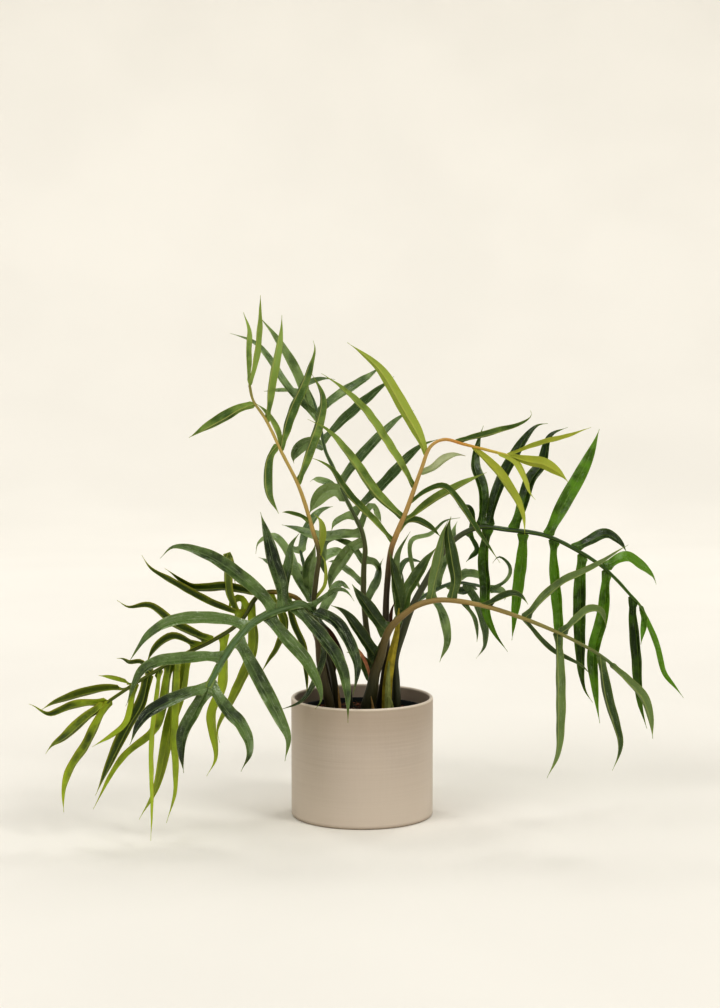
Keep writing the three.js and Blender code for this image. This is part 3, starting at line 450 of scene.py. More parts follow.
# Leaf finishes: the upper face dark and light, the lower face, the midrib, the margin and the
# tip, then how rough the skin is and how much light comes through it. patchy is how much the
# lobes differ, chalk how strong the pale scuffs and painted sheen streaks are, ripe_colour what
# old lobes turn to, and rim how much of the tip's colour the sides take.
LEAVES = {
    "leaf_dark": {
        "upper": [(8, 30, 4), (108, 132, 74)], "lower": [(60, 86, 36), (136, 156, 92)],
        "rib": (142, 162, 106), "margin": (164, 168, 116), "tip": (128, 146, 60), "rough": 0.23, "glow": 0.1,
        "patchy": 0.12, "chalk_and_sheen": 0.55,
    },
    "leaf_upright": {
        "upper": [(58, 94, 26), (152, 184, 84)], "lower": [(68, 102, 30), (164, 188, 96)],
        "rib": (196, 192, 112), "margin": (172, 174, 94), "tip": (156, 168, 56), "rough": 0.36, "glow": 0.28,
        "patchy": 0.2, "chalk_and_sheen": 0.3, "ripe_colour": (196, 200, 74),
    },
    "leaf_under": {
        "upper": [(36, 60, 14), (100, 124, 64)], "lower": [(52, 78, 26), (120, 142, 82)],
        "rib": (164, 174, 96), "margin": (160, 164, 98), "tip": (142, 158, 58), "rough": 0.32, "glow": 0.2,
        "patchy": 0.24, "chalk_and_sheen": 0.4,
    },
    "leaf_lit": {
        "upper": [(16, 48, 0), (112, 160, 26)], "lower": [(38, 86, 2), (160, 196, 54)],
        "rib": (140, 170, 58), "margin": (138, 156, 60), "tip": (136, 164, 40), "rough": 0.27, "glow": 0.36,
        "patchy": 0.24, "chalk_and_sheen": 0.45,
    },
    "leaf_olive": {
        "upper": [(24, 38, 0), (140, 166, 22)], "lower": [(60, 82, 0), (188, 208, 58)],
        "rib": (176, 186, 72), "margin": (166, 142, 50), "tip": (196, 200, 62), "rough": 0.27, "glow": 0.34,
        "patchy": 0.4, "chalk_and_sheen": 0.16, "ripe_colour": (190, 204, 76), "rim": 0.6,
    },
    "leaf_pale": {
        "upper": [(186, 198, 150), (226, 230, 196)], "lower": [(190, 202, 156), (230, 234, 204)],
        "rib": (196, 204, 156), "margin": (204, 204, 164), "tip": (160, 138, 104), "rough": 0.5, "glow": 0.3,
    },
    "leaf_grey": {
        "upper": [(68, 96, 42), (156, 178, 116)], "lower": [(90, 114, 60), (162, 180, 128)],
        "rib": (162, 180, 124), "margin": (164, 174, 124), "tip": (142, 158, 76), "rough": 0.3, "glow": 0.16,
        "patchy": 0.14, "chalk_and_sheen": 0.65,
    },
}

# Sheaths and shoots that stand by themselves: route [across, down, depth]
SHEATHS = {
    "sheath_tall": {
        "width": 16.0, "finish": "sheath_olive", "slot": "sheath_green",
        "route": [[386.5, 704, -31], [388, 680, -32], [392, 655, -36], [397, 632, -40], [399, 608, -47]],
    },
    "sheath_short": {
        "width": 11.0, "finish": "sheath_green", "slot": "sheath_green",
        "route": [[388, 705, -46], [388, 682, -47], [389, 661, -49]],
    },
    "sheath_dry": {
        "width": 5.0, "finish": "sheath_tan", "slot": "sheath_dry",
        "route": [[340, 707, -46], [339, 698, -47], [338, 686, -48]],
    },
    "sheath_pale": {
        "width": 6.0, "finish": "sheath_tan", "slot": "sheath_dry",
        "route": [[373, 708, -56], [372, 702, -57], [371, 696, -58]],
    },
    "sprout": {
        "width": 4.0, "finish": "sheath_green", "slot": "sheath_green",
        "route": [[393, 707, -62], [391, 700, -63], [388, 696, -64], [385, 699, -65]],
    },
}

SHEATH_COLOURS = {
    "sheath_olive": [(132, 120, 48), (206, 192, 80)],
    "sheath_green": [(120, 128, 74), (176, 182, 120)],
    "sheath_tan": [(128, 98, 58), (200, 172, 120)],
    "sheath_brown": [(54, 34, 24), (112, 74, 50)],
    "sheath_pink": [(150, 84, 62), (214, 168, 128)],
}


def make_camera():
    """The photograph's own viewpoint."""
    lens = bpy.data.cameras.new("photo_camera")
    lens.sensor_width = 36.0
    lens.lens = FOCAL / PHOTO_LONG_SIDE * lens.sensor_width
    camera = bpy.data.objects.new("photo_camera", lens)
    camera.location = EYE * MM
    camera.rotation_euler = (math.pi / 2 - PITCH, 0.0, 0.0)
    bpy.context.collection.objects.link(camera)
    bpy.context.scene.camera = camera


make_camera()


# Node trees

def wire(tree, target, value):
    """Joins a socket to another node's output, or sets it."""
    if isinstance(value, bpy.types.NodeSocket):
        tree.links.new(value, target)
    else:
        target.default_value = value


def add_node(tree, kind, inputs=None, **settings):
    """A node of a kind, with its settings, and its inputs joined or set."""
    made = tree.nodes.new(kind)
    for name, value in settings.items():
        setattr(made, name, value)
    for name, value in (inputs or {}).items():
        wire(tree, made.inputs[name], value)
    return made


def new_finish(name):
    """A bare material with its tree and output."""
    material = bpy.data.materials.new(name)
    material.use_nodes = True
    material.node_tree.nodes.clear()
    return material, material.node_tree


def named(tree, attribute):
    """A mark that the mesh carries."""
    return add_node(tree, "ShaderNodeAttribute", attribute_name=attribute).outputs["Fac"]


def maths(tree, operation, first, second=0.0):
    return add_node(tree, "ShaderNodeMath", {0: first, 1: second}, operation=operation).outputs[0]


def weighed(tree, *pairs):
    """The sum of some values, each times its own weight."""
    parts = [maths(tree, "MULTIPLY", value, weight) for value, weight in pairs]
    total = parts[0]
    for part in parts[1:]:
        total = maths(tree, "ADD", total, part)
    return total


def joined(tree, *values):
    """Two or three values as one vector."""
    return add_node(tree, "ShaderNodeCombineXYZ", dict(enumerate(values))).outputs[0]


def ease(tree, value, low, high, start=0.0, end=1.0):
    """Runs smoothly from start to end while the value goes from low to high."""
    inputs = {"Value": value, "From Min": low, "From Max": high, "To Min": start, "To Max": end}
    return add_node(tree, "ShaderNodeMapRange", inputs, interpolation_type="SMOOTHSTEP").outputs[0]


def blend_colour(tree, share, first, second, kind="MIX"):
    """Two colours, mixed by share."""
    made = add_node(tree, "ShaderNodeMix", data_type="RGBA", blend_type=kind)
    for socket, value in (("Factor_Float", share), ("A_Color", first), ("B_Color", second)):
        wire(tree, next(s for s in made.inputs if s.identifier == socket), value)
    return next(s for s in made.outputs if s.identifier == "Result_Color")


def washed(tree, face, colour, share):
    """A face with a colour laid over it, by share."""
    return blend_colour(tree, share, face, paint(*colour))


def lit_through(tree, skin, colour, share):
    """A skin that lets a share of the light through."""
    lit = add_node(tree, "ShaderNodeBsdfTranslucent", {"Color": colour})
    sides = {0: share, 1: skin.outputs[0], 2: lit.outputs[0]}
    return add_node(tree, "ShaderNodeMixShader", sides).outputs[0]


def grain(tree, vector, scale, detail=3.0, roughness=0.55):
    """A soft random pattern from 0 to 1."""
    inputs = {"Vector": vector, "Scale": scale, "Detail": detail, "Roughness": roughness}
    return add_node(tree, "ShaderNodeTexNoise", inputs).outputs["Fac"]


def place_of(tree):
    return add_node(tree, "ShaderNodeTexCoord").outputs["Object"]


def stretched(tree, vector, scale):
    return add_node(tree, "ShaderNodeMapping", {"Vector": vector, "Scale": scale}).outputs[0]


def raised(tree, height, strength, distance):
    """The surface's direction with fine relief on it."""
    inputs = {"Height": height, "Strength": strength, "Distance": distance}
    return add_node(tree, "ShaderNodeBump", inputs).outputs[0]


def output(tree, shader):
    add_node(tree, "ShaderNodeOutputMaterial", {"Surface": shader})


# Grains of the finishes, in waves per metre
MOTTLE_GRAIN = 46.0
DRIFT_GRAIN = 9.0
FLECK_GRAIN = 420.0
PORE_GRAIN = 900.0
QUILT_GRAIN = 150.0
SPECK_GRAIN = 620.0
PATCH_GRAIN = 90.0

# Side veins, by millimetres from a lobe's root and by share out from its midrib
VEIN_PITCH = 2.3
VEIN_SLANT = 11.0
VEIN_WANDER = 7.0
VEIN_SHARE = 0.09

# Scuffs and painted sheen streaks run lengthwise: their scale across a lobe, along it, and from one lobe to
# the next
SCUFF_AND_SHEEN_SCALE = (3.4, 0.032, 17.0)
SCUFF_AND_SHEEN_COLOUR = (176, 186, 156)

# The tint of light through a leaf, and how many streaks a stalk has around it and along it
GLOW_COLOUR = (176, 196, 60)
STREAKS_AROUND = 26.0
STREAKS_ALONG = 9.0


def leaf_finish(name, upper, lower, rib, margin, tip, rough, glow, patchy=0.14, chalk_and_sheen=0.3,
                ripe_colour=(204, 196, 84), rim=0.12):
    """A waxy leaf: two faces, pale midrib and margin, fine side veins, scuffs and painted sheen, and light
    through it.
    """
    material, tree = new_finish(name)
    across, along, under, run, tone, ripe = (named(tree, mark) for mark in MARKS)
    out = maths(tree, "ABSOLUTE", across)
    spot = place_of(tree)
    mottle = grain(tree, spot, MOTTLE_GRAIN, 4.0)
    drift = grain(tree, spot, DRIFT_GRAIN, 2.0)
    shade = ease(tree, weighed(tree, (mottle, 0.55), (drift, 0.55), (tone, patchy)), 0.4, 0.7)
    above = blend_colour(tree, shade, paint(*upper[0]), paint(*upper[1]))
    below = blend_colour(tree, shade, paint(*lower[0]), paint(*lower[1]))
    face = blend_colour(tree, under, above, below)

    slant = weighed(tree, (run, VEIN_PITCH), (out, -VEIN_SLANT), (mottle, VEIN_WANDER))
    vein = ease(tree, maths(tree, "SINE", slant), 0.5, 1.0)
    face = washed(tree, face, rib, maths(tree, "MULTIPLY", vein, VEIN_SHARE))
    fleck = ease(tree, grain(tree, spot, FLECK_GRAIN, 2.0), 0.6, 0.8, 0.0, 0.35)
    face = washed(tree, face, lower[1], fleck)
    # Pale lengthwise scuffs, which also stand as painted sheen for the glossy highlights along the lobes
    strip = joined(tree, *(
        maths(tree, "MULTIPLY", value, scale) for value, scale in zip((across, run, tone), SCUFF_AND_SHEEN_SCALE)
    ))
    scuff_and_sheen = ease(tree, grain(tree, strip, 1.6, 6.0, 0.72), 0.53, 0.66, 0.0, chalk_and_sheen)
    face = washed(tree, face, SCUFF_AND_SHEEN_COLOUR, scuff_and_sheen)

    rib_strength = maths(tree, "ADD", maths(tree, "MULTIPLY", under, 0.46), 0.34)
    face = washed(tree, face, rib, ease(tree, out, 0.035, 0.12, rib_strength, 0.0))
    face = washed(tree, face, tip, ease(tree, out, 0.5, 1.0, 0.0, rim))
    face = washed(tree, face, margin, ease(tree, out, 0.93, 0.985, 0.0, 0.7))
    face = washed(tree, face, tip, ease(tree, along, 0.84, 1.0, 0.0, 0.7))
    ripeness = maths(tree, "MULTIPLY", ripe, ease(tree, mottle, 0.2, 0.7, 1.0, 0.72))
    face = washed(tree, face, ripe_colour, ripeness)

    pores = grain(tree, spot, PORE_GRAIN, 2.0)
    quilt = grain(tree, spot, QUILT_GRAIN, 2.0)
    height = weighed(tree, (vein, -0.6), (pores, 0.35), (quilt, 2.2))
    gloss = ease(tree, mottle, 0.3, 0.7, rough - 0.05, rough + 0.08)
    skin = add_node(tree, "ShaderNodeBsdfPrincipled", {
        "Base Color": face,
        "Roughness": weighed(tree, (gloss, 1.0), (under, 0.12)),
        "Specular IOR Level": 0.68,
        "Normal": raised(tree, height, 0.5, 0.0008),
    })
    through = washed(tree, face, GLOW_COLOUR, 0.5)
    output(tree, lit_through(tree, skin, through, glow))
    return material


def stalk_finish(name, colours):
    """A petiole and rachis: its colours change along it, with fine lengthwise streaks."""
    material, tree = new_finish(name)
    along = named(tree, "along")
    ramp = add_node(tree, "ShaderNodeValToRGB", {"Fac": along})
    stops = ramp.color_ramp.elements
    stops.remove(stops[1])
    for share, colour in colours.items():
        stop = stops.new(share) if share > 0 else stops[0]
        stop.color = paint(*colour)
    plain = ramp.outputs[0]
    grid = joined(tree, maths(tree, "MULTIPLY", named(tree, "around"), STREAKS_AROUND), along)
    streak = grain(tree, stretched(tree, grid, (1.0, STREAKS_ALONG, 1.0)), 1.0, 5.0, 0.65)
    speck = ease(tree, grain(tree, place_of(tree), SPECK_GRAIN, 2.0), 0.58, 0.74)
    shaded = blend_colour(tree, ease(tree, streak, 0.35, 0.7), plain, paint(44, 34, 26), "MULTIPLY")
    face = blend_colour(tree, ease(tree, streak, 0.4, 0.75, 0.35, 0.0), plain, shaded)
    face = washed(tree, face, (40, 30, 24), maths(tree, "MULTIPLY", speck, 0.22))
    skin = add_node(tree, "ShaderNodeBsdfPrincipled", {
        "Base Color": face,
        "Roughness": ease(tree, streak, 0.3, 0.7, 0.28, 0.46),
        "Specular IOR Level": 0.5,
        "Normal": raised(tree, weighed(tree, (streak, 1.0), (speck, 0.4)), 0.4, 0.0008),
    })
    output(tree, skin.outputs[0])
    return material


def sheath_finish(name, dark, light):
    """A drying sheath: papery, ribbed lengthwise, darker in patches."""
    material, tree = new_finish(name)
    ribs_across, ribs_along = 9.0, 2.0
    across = maths(tree, "MULTIPLY", named(tree, "across"), ribs_across)
    along = maths(tree, "MULTIPLY", named(tree, "along"), ribs_along)
    rib = grain(tree, joined(tree, across, along), 1.0, 5.0, 0.7)
    patch = grain(tree, place_of(tree), PATCH_GRAIN, 4.0)
    share = ease(tree, weighed(tree, (rib, 0.6), (patch, 0.5)), 0.38, 0.72)
    skin = add_node(tree, "ShaderNodeBsdfPrincipled", {
        "Base Color": blend_colour(tree, share, paint(*dark), paint(*light)),
        "Roughness": ease(tree, patch, 0.3, 0.7, 0.55, 0.8),
        "Specular IOR Level": 0.3,
        "Normal": raised(tree, rib, 0.6, 0.0008),
    })
    output(tree, lit_through(tree, skin, paint(*light), 0.2))
    return material


def planter_finish():
    """Taupe satin glaze with fine level lines, darker at the very foot, with painted light on it: a
    painted highlight along the lip, painted bounce light low on the wall and painted shade under the lip."""
    material, tree = new_finish("planter_glaze")
    spot = place_of(tree)
    height = add_node(tree, "ShaderNodeSeparateXYZ", {0: spot}).outputs["Z"]
    lip = PLANTER_HEIGHT * MM
    lines = grain(tree, stretched(tree, spot, (8.0, 8.0, 2200.0)), 1.0, 3.0, 0.6)
    wide_lines = grain(tree, stretched(tree, spot, (5.0, 5.0, 420.0)), 1.0, 2.0, 0.5)
    strokes = grain(tree, stretched(tree, spot, (900.0, 900.0, 26.0)), 1.0, 3.0, 0.6)
    cloud = grain(tree, spot, 9.0, 3.0)
    glaze = blend_colour(tree, ease(tree, lines, 0.3, 0.7), paint(187, 175, 163), paint(194, 183, 171))
    # Each wash is a colour and how strongly it lies over the ones before it. Three by height are
    # painted light: bounce light low on the wall, shade under the lip and a highlight on the lip.
    glaze_tones_and_painted_light = {
        (160, 147, 132): ease(tree, wide_lines, 0.35, 0.75, 0.0, 0.1),
        (166, 152, 137): ease(tree, strokes, 0.35, 0.7, 0.0, 0.1),
        (200, 187, 171): ease(tree, cloud, 0.35, 0.7, 0.0, 0.25),
        # Painted bounce light: paler low on the wall, as if lit from the floor
        (208, 197, 184): ease(tree, height, -0.02, 0.12, 0.75, 0.0),
        # Painted shade of the leaves: darker in a band under the lip
        (170, 155, 138): ease(tree, height, 0.1, 0.16, 0.0, 0.55),
        # Painted highlight along the lip, where the glaze also runs thinner
        (220, 209, 194): ease(tree, height, lip - 0.0035, lip - 0.0012, 0.0, 0.8),
        (140, 124, 106): ease(tree, height, 0.001, 0.006, 0.5, 0.0),
    }
    for colour, share in glaze_tones_and_painted_light.items():
        glaze = washed(tree, glaze, colour, share)
    skin = add_node(tree, "ShaderNodeBsdfPrincipled", {
        "Base Color": glaze,
        "Roughness": ease(tree, lines, 0.3, 0.7, 0.42, 0.56),
        "Specular IOR Level": 0.5,
        "Normal": raised(tree, lines, 0.08, 0.0004),
    })
    output(tree, skin.outputs[0])
    return material


def plain_finish(name, dark, light, scale, rough, bump):
    """A solid matter with two tones in a grain, such as plastic, bark or damp mix."""
    material, tree = new_finish(name)
    spot = place_of(tree)
    tone = grain(tree, spot, scale, 5.0, 0.65)
    skin = add_node(tree, "ShaderNodeBsdfPrincipled", {
        "Base Color": blend_colour(tree, ease(tree, tone, 0.32, 0.7), paint(*dark), paint(*light)),
        "Roughness": ease(tree, tone, 0.3, 0.7, rough, min(1.0, rough + 0.15)),
        "Specular IOR Level": 0.35,
        "Normal": raised(tree, tone, bump, 0.001),
    })
    output(tree, skin.outputs[0])
    return material


# Geometry Nodes

def new_tree(name, inputs):
    """An empty node tree from geometry to geometry, and its inputs."""
    tree = bpy.data.node_groups.new(name, "GeometryNodeTree")
    tree.interface.new_socket("Geometry", in_out="INPUT", socket_type="NodeSocketGeometry")
    for label, kind in inputs:
        tree.interface.new_socket(label, in_out="INPUT", socket_type=kind)
    tree.interface.new_socket("Geometry", in_out="OUTPUT", socket_type="NodeSocketGeometry")
    return tree, tree.nodes.new("NodeGroupInput").outputs


def finish_tree(tree, geometry, material):
    """Ends a tree: instances made real, smooth faces, and the finish set."""
    solid = add_node(tree, "GeometryNodeRealizeInstances", {0: geometry}).outputs[0]
    smooth = add_node(tree, "GeometryNodeSetShadeSmooth", {0: solid}).outputs[0]
    faced = add_node(tree, "GeometryNodeSetMaterial", {0: smooth, "Material": material}).outputs[0]
    add_node(tree, "NodeGroupOutput", {0: faced})


def stalk_tree():
    """A round stalk along a route, as thick at each point as the route's own girth says."""
    tree, given = new_tree("stalk_along_route", [
        ("Sides", "NodeSocketInt"), ("Material", "NodeSocketMaterial"),
    ])
    route = add_node(tree, "GeometryNodeMeshToCurve", {0: given["Geometry"]})
    circle = add_node(tree, "GeometryNodeCurvePrimitiveCircle", {"Resolution": given["Sides"], "Radius": 1.0})
    marked = []
    for curve, mark in ((route, "along"), (circle, "around")):
        share = add_node(tree, "GeometryNodeSplineParameter").outputs["Factor"]
        stored = {0: curve.outputs[0], "Name": mark, "Value": share}
        marked.append(add_node(tree, "GeometryNodeStoreNamedAttribute", stored).outputs[0])
    girth = add_node(tree, "GeometryNodeInputNamedAttribute", {"Name": "girth"}).outputs[0]
    skin = add_node(tree, "GeometryNodeCurveToMesh", {
        "Curve": marked[0], "Profile Curve": marked[1], "Scale": girth, "Fill Caps": True,
    })
    finish_tree(tree, skin.outputs[0], given["Material"])
    return tree


def litter_tree():
    """Bits of bark, fibre or grit strewn over the potting mix, each turned and sized at random."""
    tree, given = new_tree("litter_over_mix", [
        ("Density", "NodeSocketFloat"), ("Length", "NodeSocketFloat"), ("Slimness", "NodeSocketFloat"),
        ("Flatness", "NodeSocketFloat"), ("Seed", "NodeSocketInt"), ("Material", "NodeSocketMaterial"),
    ])
    spots = add_node(tree, "GeometryNodeDistributePointsOnFaces", {
        0: given["Geometry"], "Density": given["Density"], "Seed": given["Seed"],
    })
    length = given["Length"]
    breadth = maths(tree, "MULTIPLY", length, given["Slimness"])
    height = maths(tree, "MULTIPLY", length, given["Flatness"])
    lump = add_node(tree, "GeometryNodeMeshIcoSphere", {"Radius": 0.5, "Subdivisions": 2}).outputs[0]
    rough = add_node(tree, "ShaderNodeTexNoise", {"Scale": 2.6, "Detail": 2.0}).outputs["Color"]
    middle = {0: rough, 1: (0.5, 0.5, 0.5)}
    push = add_node(tree, "ShaderNodeVectorMath", middle, operation="SUBTRACT").outputs[0]
    pushed = add_node(tree, "GeometryNodeSetPosition", {0: lump, "Offset": push}).outputs[0]
    size = joined(tree, length, breadth, height)
    bit = add_node(tree, "GeometryNodeTransform", {0: pushed, "Scale": size}).outputs[0]
    turn = add_node(tree, "FunctionNodeRandomValue", {
        0: (-0.5, -0.5, 0.0), 1: (0.5, 0.5, 6.283), "Seed": given["Seed"],
    }, data_type="FLOAT_VECTOR").outputs[0]
    grow = add_node(tree, "FunctionNodeRandomValue", {
        2: 0.45, 3: 1.15, "Seed": given["Seed"],
    }, data_type="FLOAT").outputs[1]
    strewn = add_node(tree, "GeometryNodeInstanceOnPoints", {
        0: spots.outputs[0], "Instance": bit, "Rotation": turn, "Scale": grow,
    }).outputs[0]
    finish_tree(tree, strewn, given["Material"])
    return tree


def grown(name, mesh, tree, values):
    """The plain mesh that a tree makes from another, with its inputs set by their labels."""
    source = bpy.data.objects.new(name + "_source", mesh)
    bpy.context.collection.objects.link(source)
    modifier = source.modifiers.new("growth", "NODES")
    modifier.node_group = tree
    for item in tree.interface.items_tree:
        if item.in_out == "INPUT" and item.name in values:
            modifier[item.identifier] = values[item.name]
    depsgraph = bpy.context.evaluated_depsgraph_get()
    made = bpy.data.meshes.new_from_object(source.evaluated_get(depsgraph), depsgraph=depsgraph)
    made.name = name
    source.modifiers.remove(modifier)
    bpy.data.objects.remove(source)
    return made


def seat(name, mesh, slot, *nodes):
    """Puts a finished mesh into the object, standing for the nodes it replaces."""
    piece = bpy.data.objects.new(name, mesh)
    bpy.context.collection.objects.link(piece)
    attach(piece, "root")
    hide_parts(*nodes)
    return piece


# Lines and frames

def unit(vectors):
    return vectors / np.maximum(np.linalg.norm(vectors, axis=-1, keepdims=True), 1e-9)


def square_to(vectors, axes):
    """What is left of vectors square to their axes, as long as 1."""
    return unit(vectors - axes * np.sum(vectors * axes, axis=-1, keepdims=True))


def lengths_along(points):
    """How far along the line each of its points is."""
    return np.concatenate([[0.0], np.cumsum(np.linalg.norm(np.diff(points, axis=0), axis=1))])


def evenly(points, count):
    """The same line in evenly spaced points."""
    along = lengths_along(points)
    wanted = np.linspace(0.0, along[-1], count)
    return np.stack([np.interp(wanted, along, column) for column in points.T], axis=1)


def rounded(readings, count):
    """Evenly spaced points on the smooth line through the readings."""
    points = np.array(readings, float)
    points = np.vstack([2 * points[0] - points[1], points, 2 * points[-1] - points[-2]])
    share = np.linspace(0.0, 1.0, 16, endpoint=False)[:, None]
    runs = []
    for before, start, end, after in zip(points, points[1:], points[2:], points[3:]):
        steps = (start - before, end - start, after - end)
        first, middle, last = (np.linalg.norm(step) ** 0.5 for step in steps)
        leave = (start - before) / first - (end - before) / (first + middle) + (end - start) / middle
        arrive = (end - start) / middle - (after - start) / (middle + last) + (after - end) / last
        runs.append(
            (2 * share**3 - 3 * share**2 + 1) * start + (share**3 - 2 * share**2 + share) * leave * middle
            + (3 * share**2 - 2 * share**3) * end + (share**3 - share**2) * arrive * middle
        )
    return evenly(np.vstack([*runs, points[-2:-1]]), count)


def placed(readings):
    """Readings [across, down, depth] as places in the part's own frame."""
    side = (readings[:, 0] - PHOTO_CENTRE[0]) / FOCAL
    rise = (PHOTO_CENTRE[1] - readings[:, 1]) / FOCAL
    run = (readings[:, 2] - EYE[1]) / (math.cos(PITCH) + math.sin(PITCH) * rise)
    climb = math.cos(PITCH) * rise - math.sin(PITCH)
    return np.stack([EYE[0] + run * side, readings[:, 2], EYE[2] + run * climb], axis=1)


def turned_about(vectors, axes, angles):
    """Vectors turned about axes that they are square to."""
    angles = np.asarray(angles)[..., None]
    return vectors * np.cos(angles) + np.cross(axes, vectors) * np.sin(angles)


# Blades

def blade_rings(centre, side, face, half, fold, ripple):
    """A ring of points for each row: over the blade's upper face and back under its lower one."""
    share = np.linspace(0.0, 1.0, len(centre))[:, None]
    out = np.abs(ACROSS)[None, :]
    half = half[:, None]
    arch = np.sin(fold) * ((np.sqrt(out**2 + 0.01) - 0.1) + 0.36 * (out - out**2))
    groove = GROOVE_DEPTH * np.exp(-((out * half) / GROOVE_REACH) ** 2) * (1.0 - share)
    rise = half * arch + ripple * out**3 - groove
    reach = ACROSS[None, :] * half * np.cos(fold)
    upper = centre[:, None] + side[:, None] * reach[..., None] + face[:, None] * rise[..., None]
    depth = BLADE_THICKNESS * (0.5 + 0.5 * (1.0 - out)) * np.minimum(1.0, 0.35 + half / 4.0)
    rib = (RIB_DEPTH - RIB_TAPER * share) * np.exp(-((out * half) / RIB_REACH) ** 2)
    rib = rib * np.minimum(1.0, half / 3.0)
    lower = upper - face[:, None] * (depth + rib)[..., None]
    return np.concatenate([upper, lower[:, ::-1]], axis=1)


def blade_faces(rows):
    """The faces that join a blade's rings and close its ends, and which are shaded flat."""
    columns = len(ACROSS)
    size = 2 * columns
    row = np.arange(rows - 1)[:, None] * size
    here = np.arange(size)[None, :]
    ahead = (here + 1) % size
    quads = np.stack([row + here, row + ahead, row + size + ahead, row + size + here], axis=-1)
    edges = np.broadcast_to((here % columns) == columns - 1, quads.shape[:2])
    end = (rows - 1) * size
    caps = []
    for column in range(columns - 1):
        under = size - 1 - column
        caps.append([under, under - 1, column + 1, column])
        caps.append([end + column, end + column + 1, end + under - 1, end + under])
    flat = np.concatenate([edges.reshape(-1), np.ones(len(caps), bool)])
    return np.concatenate([quads.reshape(-1, 4), np.array(caps)]), flat


def facing_out(points, quads):
    """The faces, turned over where they look into the form that they close."""
    corner = points[quads] - points.mean(axis=0)
    volume = np.sum(corner[:, 0] * np.cross(corner[:, 1], corner[:, 2]))
    volume += np.sum(corner[:, 0] * np.cross(corner[:, 2], corner[:, 3]))
    return quads[:, ::-1] if volume < 0 else quads


class Blades:
    """The blades of one leaf, gathered into one mesh with the marks that its finish reads."""

    def __init__(self):
        self.points = []
        self.faces = []
        self.flat = []
        self.marks = {mark: [] for mark in MARKS}
        self.count = 0

    def add(self, centre, side, face, half, fold, ripple, tone, ripe=0.0):
        """A blade along its midline, with half its width in each row."""
        rings = blade_rings(centre, side, face, half, fold, ripple)
        flesh = rings.reshape(-1, 3)
        quads, flat = blade_faces(len(centre))
        self.points.append(flesh)
        self.faces.append(facing_out(flesh, quads) + self.count)
        self.flat.append(flat)
        self.count += len(flesh)
        run = lengths_along(centre)[:, None]
        values = {
            "across": np.concatenate([ACROSS, ACROSS[::-1]]),
            "along": np.linspace(0.0, 1.0, len(centre))[:, None],
            "under": np.repeat([0.0, 1.0], len(ACROSS)),
            "run": run,
            "tone": tone * np.clip(run / TONE_LENGTH, 0.0, 1.0),
            "ripe": ripe,
        }
        for mark in MARKS:
            spread = np.broadcast_to(values[mark], rings.shape[:2])
            self.marks[mark].append(spread.reshape(-1))

    def mesh(self, name, material):
        """All the blades as one mesh, in metres."""
        made = bpy.data.meshes.new(name)
        points = np.concatenate(self.points) * MM
        made.from_pydata(points.tolist(), [], np.concatenate(self.faces).tolist())
        sharp = made.attributes.new("sharp_face", "BOOLEAN", "FACE")
        sharp.data.foreach_set("value", np.concatenate(self.flat))
        for mark, values in self.marks.items():
            kept = made.attributes.new(mark, "FLOAT", "POINT")
            kept.data.foreach_set("value", np.concatenate(values))
        made.materials.append(material)
        made.update()
        return made


def half_width(width, share, run, look):
    """Half a lobe's width: a spread root, a waist, widest before the middle, and a drawn-out tip."""
    arch = np.maximum(np.sin(np.pi * (0.12 + 0.88 * share) ** 0.85), 0.0)
    swell = LOBE_FULLNESS * look.get("broad", 1.0) * arch ** (0.45 + 0.9 * share**3)
    waist = 1.0 - (1.0 - look["waist"]) * np.exp(-((run / WAIST_LENGTH) ** 2))
    flare = look["flare"] * np.exp(-((run / FLARE_LENGTH) ** 1.5))
    closed = np.clip(0.25 + run / 4.0, 0.0, 1.0) ** 0.7
    return np.maximum(LOBE_TIP_WIDTH / 2, (width / 2 * swell * waist + flare) * closed)


def roll_of(tangent, upper, shown):
    """How far a blade is rolled from facing the photograph so that it shows its seen width."""
    to_viewer = square_to(TO_VIEWER, tangent)
    lean = math.atan2(upper @ np.cross(tangent, to_viewer), upper @ to_viewer)
    opening = math.acos(shown)
    rolls = (opening, -opening, math.pi - opening, opening - math.pi)
    return min(rolls, key=lambda roll: abs(math.remainder(roll - lean, 2 * math.pi)))


def lobe_lines(stalk, upper, leaf, index):
    """A lobe's midline, with the ways across it and out of its upper face."""
    route = np.array(leaf["route"], float)
    sample = np.argmin(np.linalg.norm(stalk["readings"][:, :2] - route[0], axis=1))
    root = stalk["readings"][sample]
    share = lengths_along(route) / lengths_along(route)[-1]
    depth = root[2] + leaf["lift"] * share**1.3
    readings = np.column_stack([route, depth])
    readings[0] = root
    line = placed(rounded(readings, LOBE_SAMPLES))
    rows = int(np.clip(lengths_along(line)[-1] / ROW_SPACING, *LOBE_ROWS))
    line = evenly(line, rows)
    tangent = unit(np.gradient(line, axis=0))
    shown_width = leaf["seen"] * MM_PER_PIXEL
    width = max(shown_width, min(BROAD_LOBE, 1.5 * shown_width))
    roll = roll_of(tangent[rows // 2], upper, shown_width / width)
    along = np.linspace(0.0, 1.0, rows)
    twist = LOBE_TWIST * math.sin(2.4 * index) * (along - 0.5)
    to_viewer = square_to(np.broadcast_to(TO_VIEWER, tangent.shape), tangent)
    face = turned_about(to_viewer, tangent, roll + twist)
    side = np.cross(tangent, face)
    run = lengths_along(line)
    rachis = stalk["tangent"][sample]
    ease_in = np.clip(run / ROOT_LENGTH, 0.0, 1.0)
    ease_in = (ease_in**2 * (3 - 2 * ease_in))[:, None]
    squarely = np.abs(tangent @ rachis) < 0.85
    way = np.where((side @ rachis) < 0, -1.0, 1.0)[:, None]
    blended = unit(side * ease_in + rachis * way * (1 - ease_in))
    side = np.where(squarely[:, None], blended, side)
    face = square_to(face, side)
    return line, side, face, width, run, sample / STALK_ROWS


